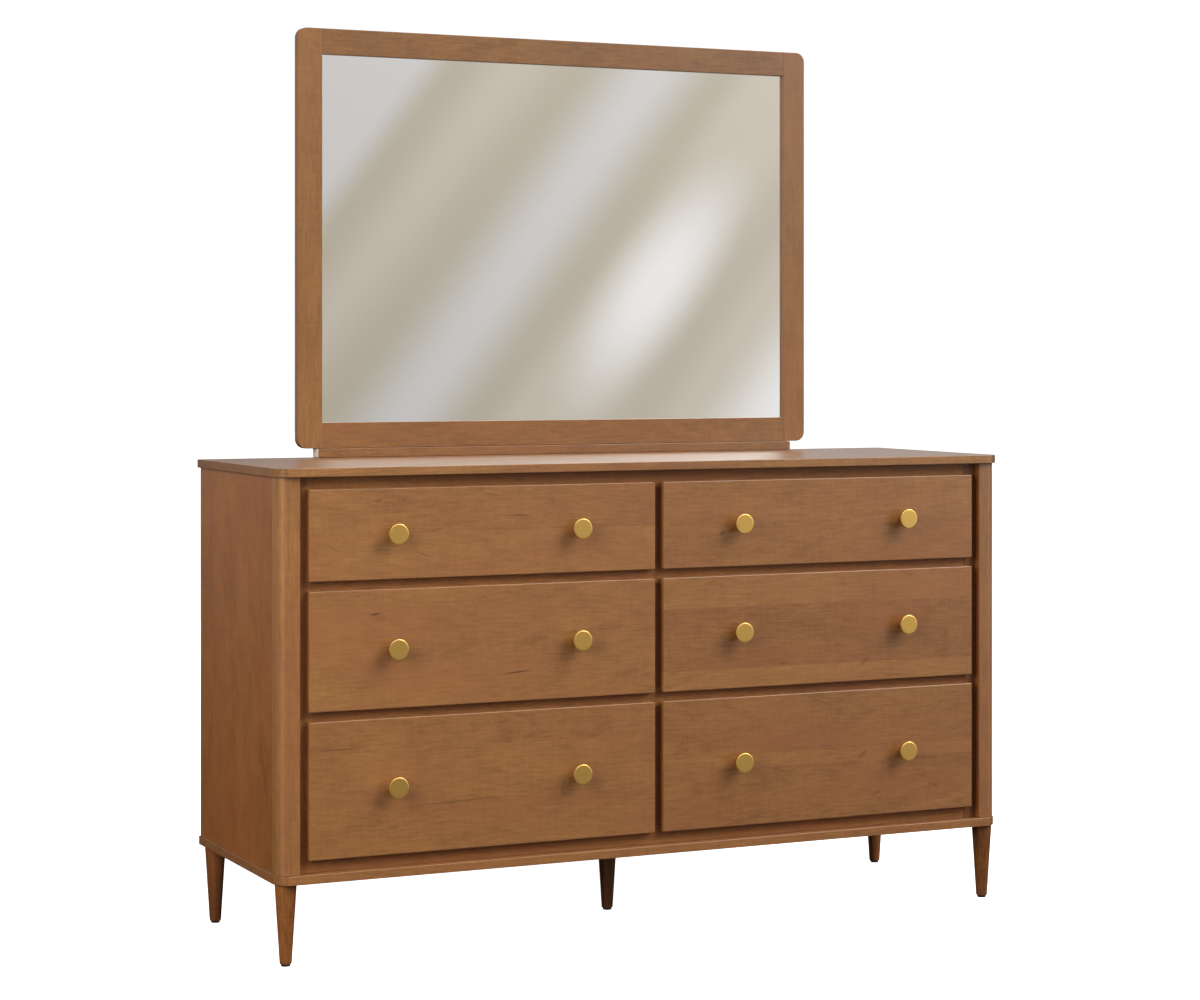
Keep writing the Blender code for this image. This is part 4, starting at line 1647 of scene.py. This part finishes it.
@dataclass(frozen=True)
class Lamp:
    """A soft square light, placed as a photographer would name it.

    Attributes:
        name: Name of the light.
        turn: How far it stands to the right of the front, in degrees.
        rise: How far it stands above the horizon, in degrees.
        reach: Distance from the middle of the drawers.
        size: Width and height of the diffuser.
        power: Watts.
        shines: Whether gloss sees it, or a flag keeps it out of reflections.
        aim: The middle of the drawers.
    """

    name: str
    turn: float
    rise: float
    reach: float
    size: float
    power: float
    shines: bool = True
    aim: Triple = (0.0, -0.1, 0.75)

    def build(self) -> None:
        """Stand the light in the scene, facing the drawers."""
        data = bpy.data.lights.new(self.name, "AREA")
        data.shape = "SQUARE"
        data.size = self.size
        data.energy = self.power
        item = bpy.data.objects.new(self.name, data)
        item.visible_glossy = self.shines
        turn, rise = math.radians(self.turn), math.radians(self.rise)
        way = Vector((math.sin(turn) * math.cos(rise), -math.cos(turn) * math.cos(rise), math.sin(rise)))
        item.location = Vector(self.aim) + way * self.reach
        item.rotation_euler = (-way).to_track_quat("-Z", "Y").to_euler()
        bpy.context.scene.collection.objects.link(item)


class Paint(Enum):
    """Colours of the soft stripes that the mirror shows."""

    PALE = "#cdcbcc"
    SHADE = "#b8b1a3"
    BEIGE = "#c4bdb2"
    DUSK = "#bab3a7"
    BRIGHT = "#e8e7e9"


@dataclass
class Studio:
    """Camera, lights, white ground and the softly striped room that the mirror shows.

    A range is two limits and the level at each.

    Attributes:
        eye: Place of the camera.
        turn: How far the camera turns to the right, in degrees.
        lens: Width of the film and focal length, in millimetres.
        drop: Vertical shift of the picture.
        glass: X, Y and Z of the glass's upper left corner.
        least: Least part of a direction that points to the front.
        slant: Directions across and along the stripes.
        bands: Distance across the stripes, in metres on the glass, and the colour there.
        fold: How far past the last band the stripes turn back.
        glow: Middle and half size of the pale oval among the stripes.
        halo: Range of the oval's light, from its middle to its edge.
        floor: Range of the floor's light over the height of a direction.
        near: The same for the floor close by.
        ceiling: The same for the ceiling.
        fade: Range of the stripes' light along them.
        wall: Direction of the pale wall behind, and the range of its light round it.
        skirting: Range of that wall's light over the height of a direction.
        turned: Range over which the wall gives way to the stripes.
        windows: Soft bright places that gloss sees: direction, the cosines of the angles at
            which each is full and gone, and its level.
        dim: Range of the light that falls on matt surfaces, over the height of a direction.
        white: Level behind the object.
        ground: Size and level of the white floor.
        lamps: The four lights.
    """

    eye: Triple = (-2.3373, -4.9305, 1.1026)
    turn: float = 25.22
    lens: Pair = (36.0, 83.085)
    drop: float = -0.1255
    glass: Triple = (-0.5155, 0.223, 1.6822)
    least: float = 0.35
    slant: tuple[Triple, Triple] = ((0.788, 0.0, -0.616), (0.616, 0.0, 0.788))
    bands: tuple[tuple[float, Paint], ...] = (
        (0.000, Paint.PALE), (0.155, Paint.PALE), (0.235, Paint.SHADE), (0.330, Paint.BEIGE),
        (0.440, Paint.SHADE), (0.580, Paint.PALE), (0.705, Paint.SHADE), (0.780, Paint.BEIGE),
        (0.880, Paint.BEIGE), (0.990, Paint.DUSK), (1.075, Paint.BEIGE), (1.210, Paint.BRIGHT),
    )
    fold: float = 0.04
    glow: tuple[Triple, Triple] = ((0.852, 0.095, 0.0), (0.128, 0.390, 1.0))
    halo: Range = (0.1, 1.0, 1.0, 0.0)
    floor: Range = (-0.25, -0.03, 0.05, 1.2)
    near: Range = (-0.20, -0.42, 0.0, 0.75)
    ceiling: Range = (0.22, 0.80, 0.0, 1.8)
    fade: Range = (-0.55, 0.60, 0.88, 1.11)
    wall: tuple[Triple, Range] = ((0.60, 0.80, 0.06), (0.90, 0.995, 0.26, 0.70))
    skirting: Range = (-0.16, 0.0, 0.06, 1.0)
    turned: Range = (-0.1, 0.3, 0.0, 1.0)
    windows: tuple[tuple[Triple, float, float, float], ...] = (
        ((0.80, -0.55, 0.45), 0.97, 0.86, 0.7),
        ((0.72, -0.69, 0.15), 0.995, 0.955, 2.4),
        ((-0.79, -0.61, -0.02), 0.99, 0.94, 1.1),
        ((0.08, -0.81, 0.58), 0.985, 0.93, 2.5),
    )
    dim: Range = (-0.1, 0.9, 0.03, 0.24)
    white: float = 1.05
    ground: Pair = (60.0, -0.0002)
    lamps: tuple[Lamp, ...] = (
        Lamp("key", 49.0, 39.0, 12.0, 7.5, 1320.0),
        Lamp("side", -66.0, 17.0, 3.5, 2.2, 90.0, shines=False),
        Lamp("front", -10.0, 18.0, 6.0, 3.0, 12.0),
        Lamp("back", 180.0, 3.0, 6.0, 3.0, 130.0, shines=False),
    )

    def build(self) -> None:
        """Set up the whole studio."""
        bpy.context.scene.view_settings.view_transform = "Standard"
        self.add_camera()
        self.light_world()
        for lamp in self.lamps:
            lamp.build()
        self.lay_floor()

    def add_camera(self) -> None:
        """Stand the camera where the photograph was taken from."""
        data = bpy.data.cameras.new("camera")
        data.sensor_width, data.lens = self.lens
        data.shift_y = self.drop
        item = bpy.data.objects.new("camera", data)
        item.location = self.eye
        item.rotation_euler = (math.radians(90), 0, -math.radians(self.turn))
        bpy.context.scene.collection.objects.link(item)
        bpy.context.scene.camera = item

    def light_world(self) -> None:
        """White behind the object, a dim room for shadows, and a bright one for gloss."""
        world = bpy.data.worlds.new("studio")
        world.use_nodes = True
        bpy.context.scene.world = world
        tree = world.node_tree
        rays = add(tree, "ShaderNodeLightPath").outputs
        way = add(tree, "ShaderNodeTexCoord").outputs["Generated"]
        height = add(tree, "ShaderNodeSeparateXYZ", {0: way}).outputs[2]
        dim = span(tree, height, self.dim)
        room = blend(tree, rays["Is Glossy Ray"], dim, self.room(tree, way, height))
        seen = blend(tree, rays["Is Camera Ray"], room, (self.white, self.white, self.white, 1.0))
        light = add(tree, "ShaderNodeBackground", {"Color": seen})
        wire(tree, tree.nodes["World Output"], {"Surface": light.outputs[0]})

    def room(self, tree: NodeTree, way: NodeSocket, height: NodeSocket) -> NodeSocket:
        """Draw what gloss sees: a striped room in front, and a pale wall behind to the right.

        Args:
            tree: The world's nodes.
            way: Direction of the ray.
            height: Its upward part.

        Returns:
            Colour of the light from there.
        """
        front = vector(tree, "DOT_PRODUCT", way, (0, -1, 0))
        stripes, along = self.stripes(tree, way, number(tree, "MAXIMUM", front, self.least))
        # the glass gives back about five sixths of what falls on it: a bright ceiling, a floor
        # that is dim in the distance and paler close by
        floor, near, ceiling = [soft(tree, height, *limits)
                                for limits in (self.floor, self.near, self.ceiling)]
        level = number(tree, "ADD", number(tree, "ADD", floor, near), ceiling)
        level = number(tree, "MULTIPLY", level, span(tree, along, self.fade))
        place, limits = self.wall
        wall = soft(tree, vector(tree, "DOT_PRODUCT", way, place), *limits)
        wall = number(tree, "MULTIPLY", wall, soft(tree, height, *self.skirting))
        colour = blend(tree, soft(tree, front, *self.turned), wall, scaled(tree, stripes, level))
        for window, full, gone, level in self.windows:
            close = vector(tree, "DOT_PRODUCT", way, Vector(window).normalized())
            colour = vector(tree, "ADD", colour, soft(tree, close, gone, full, 0.0, level))
        return colour

    def stripes(self, tree: NodeTree, way: NodeSocket, ahead: NodeSocket) -> tuple[NodeSocket, NodeSocket]:
        """Draw soft slanting stripes with a pale oval among them.

        Args:
            tree: The world's nodes.
            way: Direction of the ray.
            ahead: Its forward part.

        Returns:
            Their colour, and how far along them the ray goes.
        """
        slope = number(tree, "DIVIDE", self.glass[1] - self.eye[1], ahead)
        # where the camera sees that direction on the glass, from the glass's upper left corner
        shift = [eye - glass for eye, glass in zip(self.eye, self.glass)]
        spot = vector(tree, "ADD", scaled(tree, way, slope), shift)
        across, along = [vector(tree, "DOT_PRODUCT", spot, axis) for axis in self.slant]
        reach = self.bands[-1][0] + self.fold
        folded = number(tree, "DIVIDE", number(tree, "PINGPONG", across, reach), reach)
        ramp = add(tree, "ShaderNodeValToRGB", {0: folded})
        ramp.color_ramp.interpolation = "EASE"
        stops = ramp.color_ramp.elements
        for place, paint in self.bands[1:-1]:
            stops.new(place / reach).color = linear(paint.value)
        stops[0].color = linear(self.bands[0][1].value)
        stops[len(stops) - 1].color = linear(self.bands[-1][1].value)
        oval = add(tree, "ShaderNodeCombineXYZ", {0: across, 1: along}).outputs[0]
        inputs = {0: oval, "Location": self.glow[0], "Scale": self.glow[1]}
        local = add(tree, "ShaderNodeMapping", inputs, vector_type="TEXTURE").outputs[0]
        glow = soft(tree, vector(tree, "LENGTH", local), *self.halo)
        return blend(tree, glow, ramp.outputs[0], linear(Paint.BRIGHT.value)), along

    def lay_floor(self) -> None:
        """Lay a white floor, lit until no shadow shows on it."""
        bpy.ops.object.select_all(action="DESELECT")
        size, level = self.ground
        bpy.ops.mesh.primitive_plane_add(size=size, location=(0, 0, level))
        floor = bpy.context.object
        floor.name = "floor"
        made, tree, shader = blank("floor_white_sweep")
        wire(tree, shader, {
            "Base Color": linear("#f4f3f1"), "Roughness": 0.9, "Specular IOR Level": 0.0,
            "Emission Color": linear("#ffffff"), "Emission Strength": 1.0,
        })
        floor.data.materials.append(made)
        floor.visible_diffuse = False
        floor.visible_glossy = False


def main() -> None:
    """Build the dresser from the floor up, then the studio round it."""
    logging.basicConfig(level=logging.INFO, format="%(name)s: %(message)s")
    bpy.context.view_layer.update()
    finishes = Finishes()
    for assembly in (Legs, Case, FaceFrame, Runners, Drawers, Mirror, Screws):
        LOG.info("building %s", assembly.__name__)
        assembly(finishes).build()
    Studio().build()


if __name__ == "__main__":
    main()
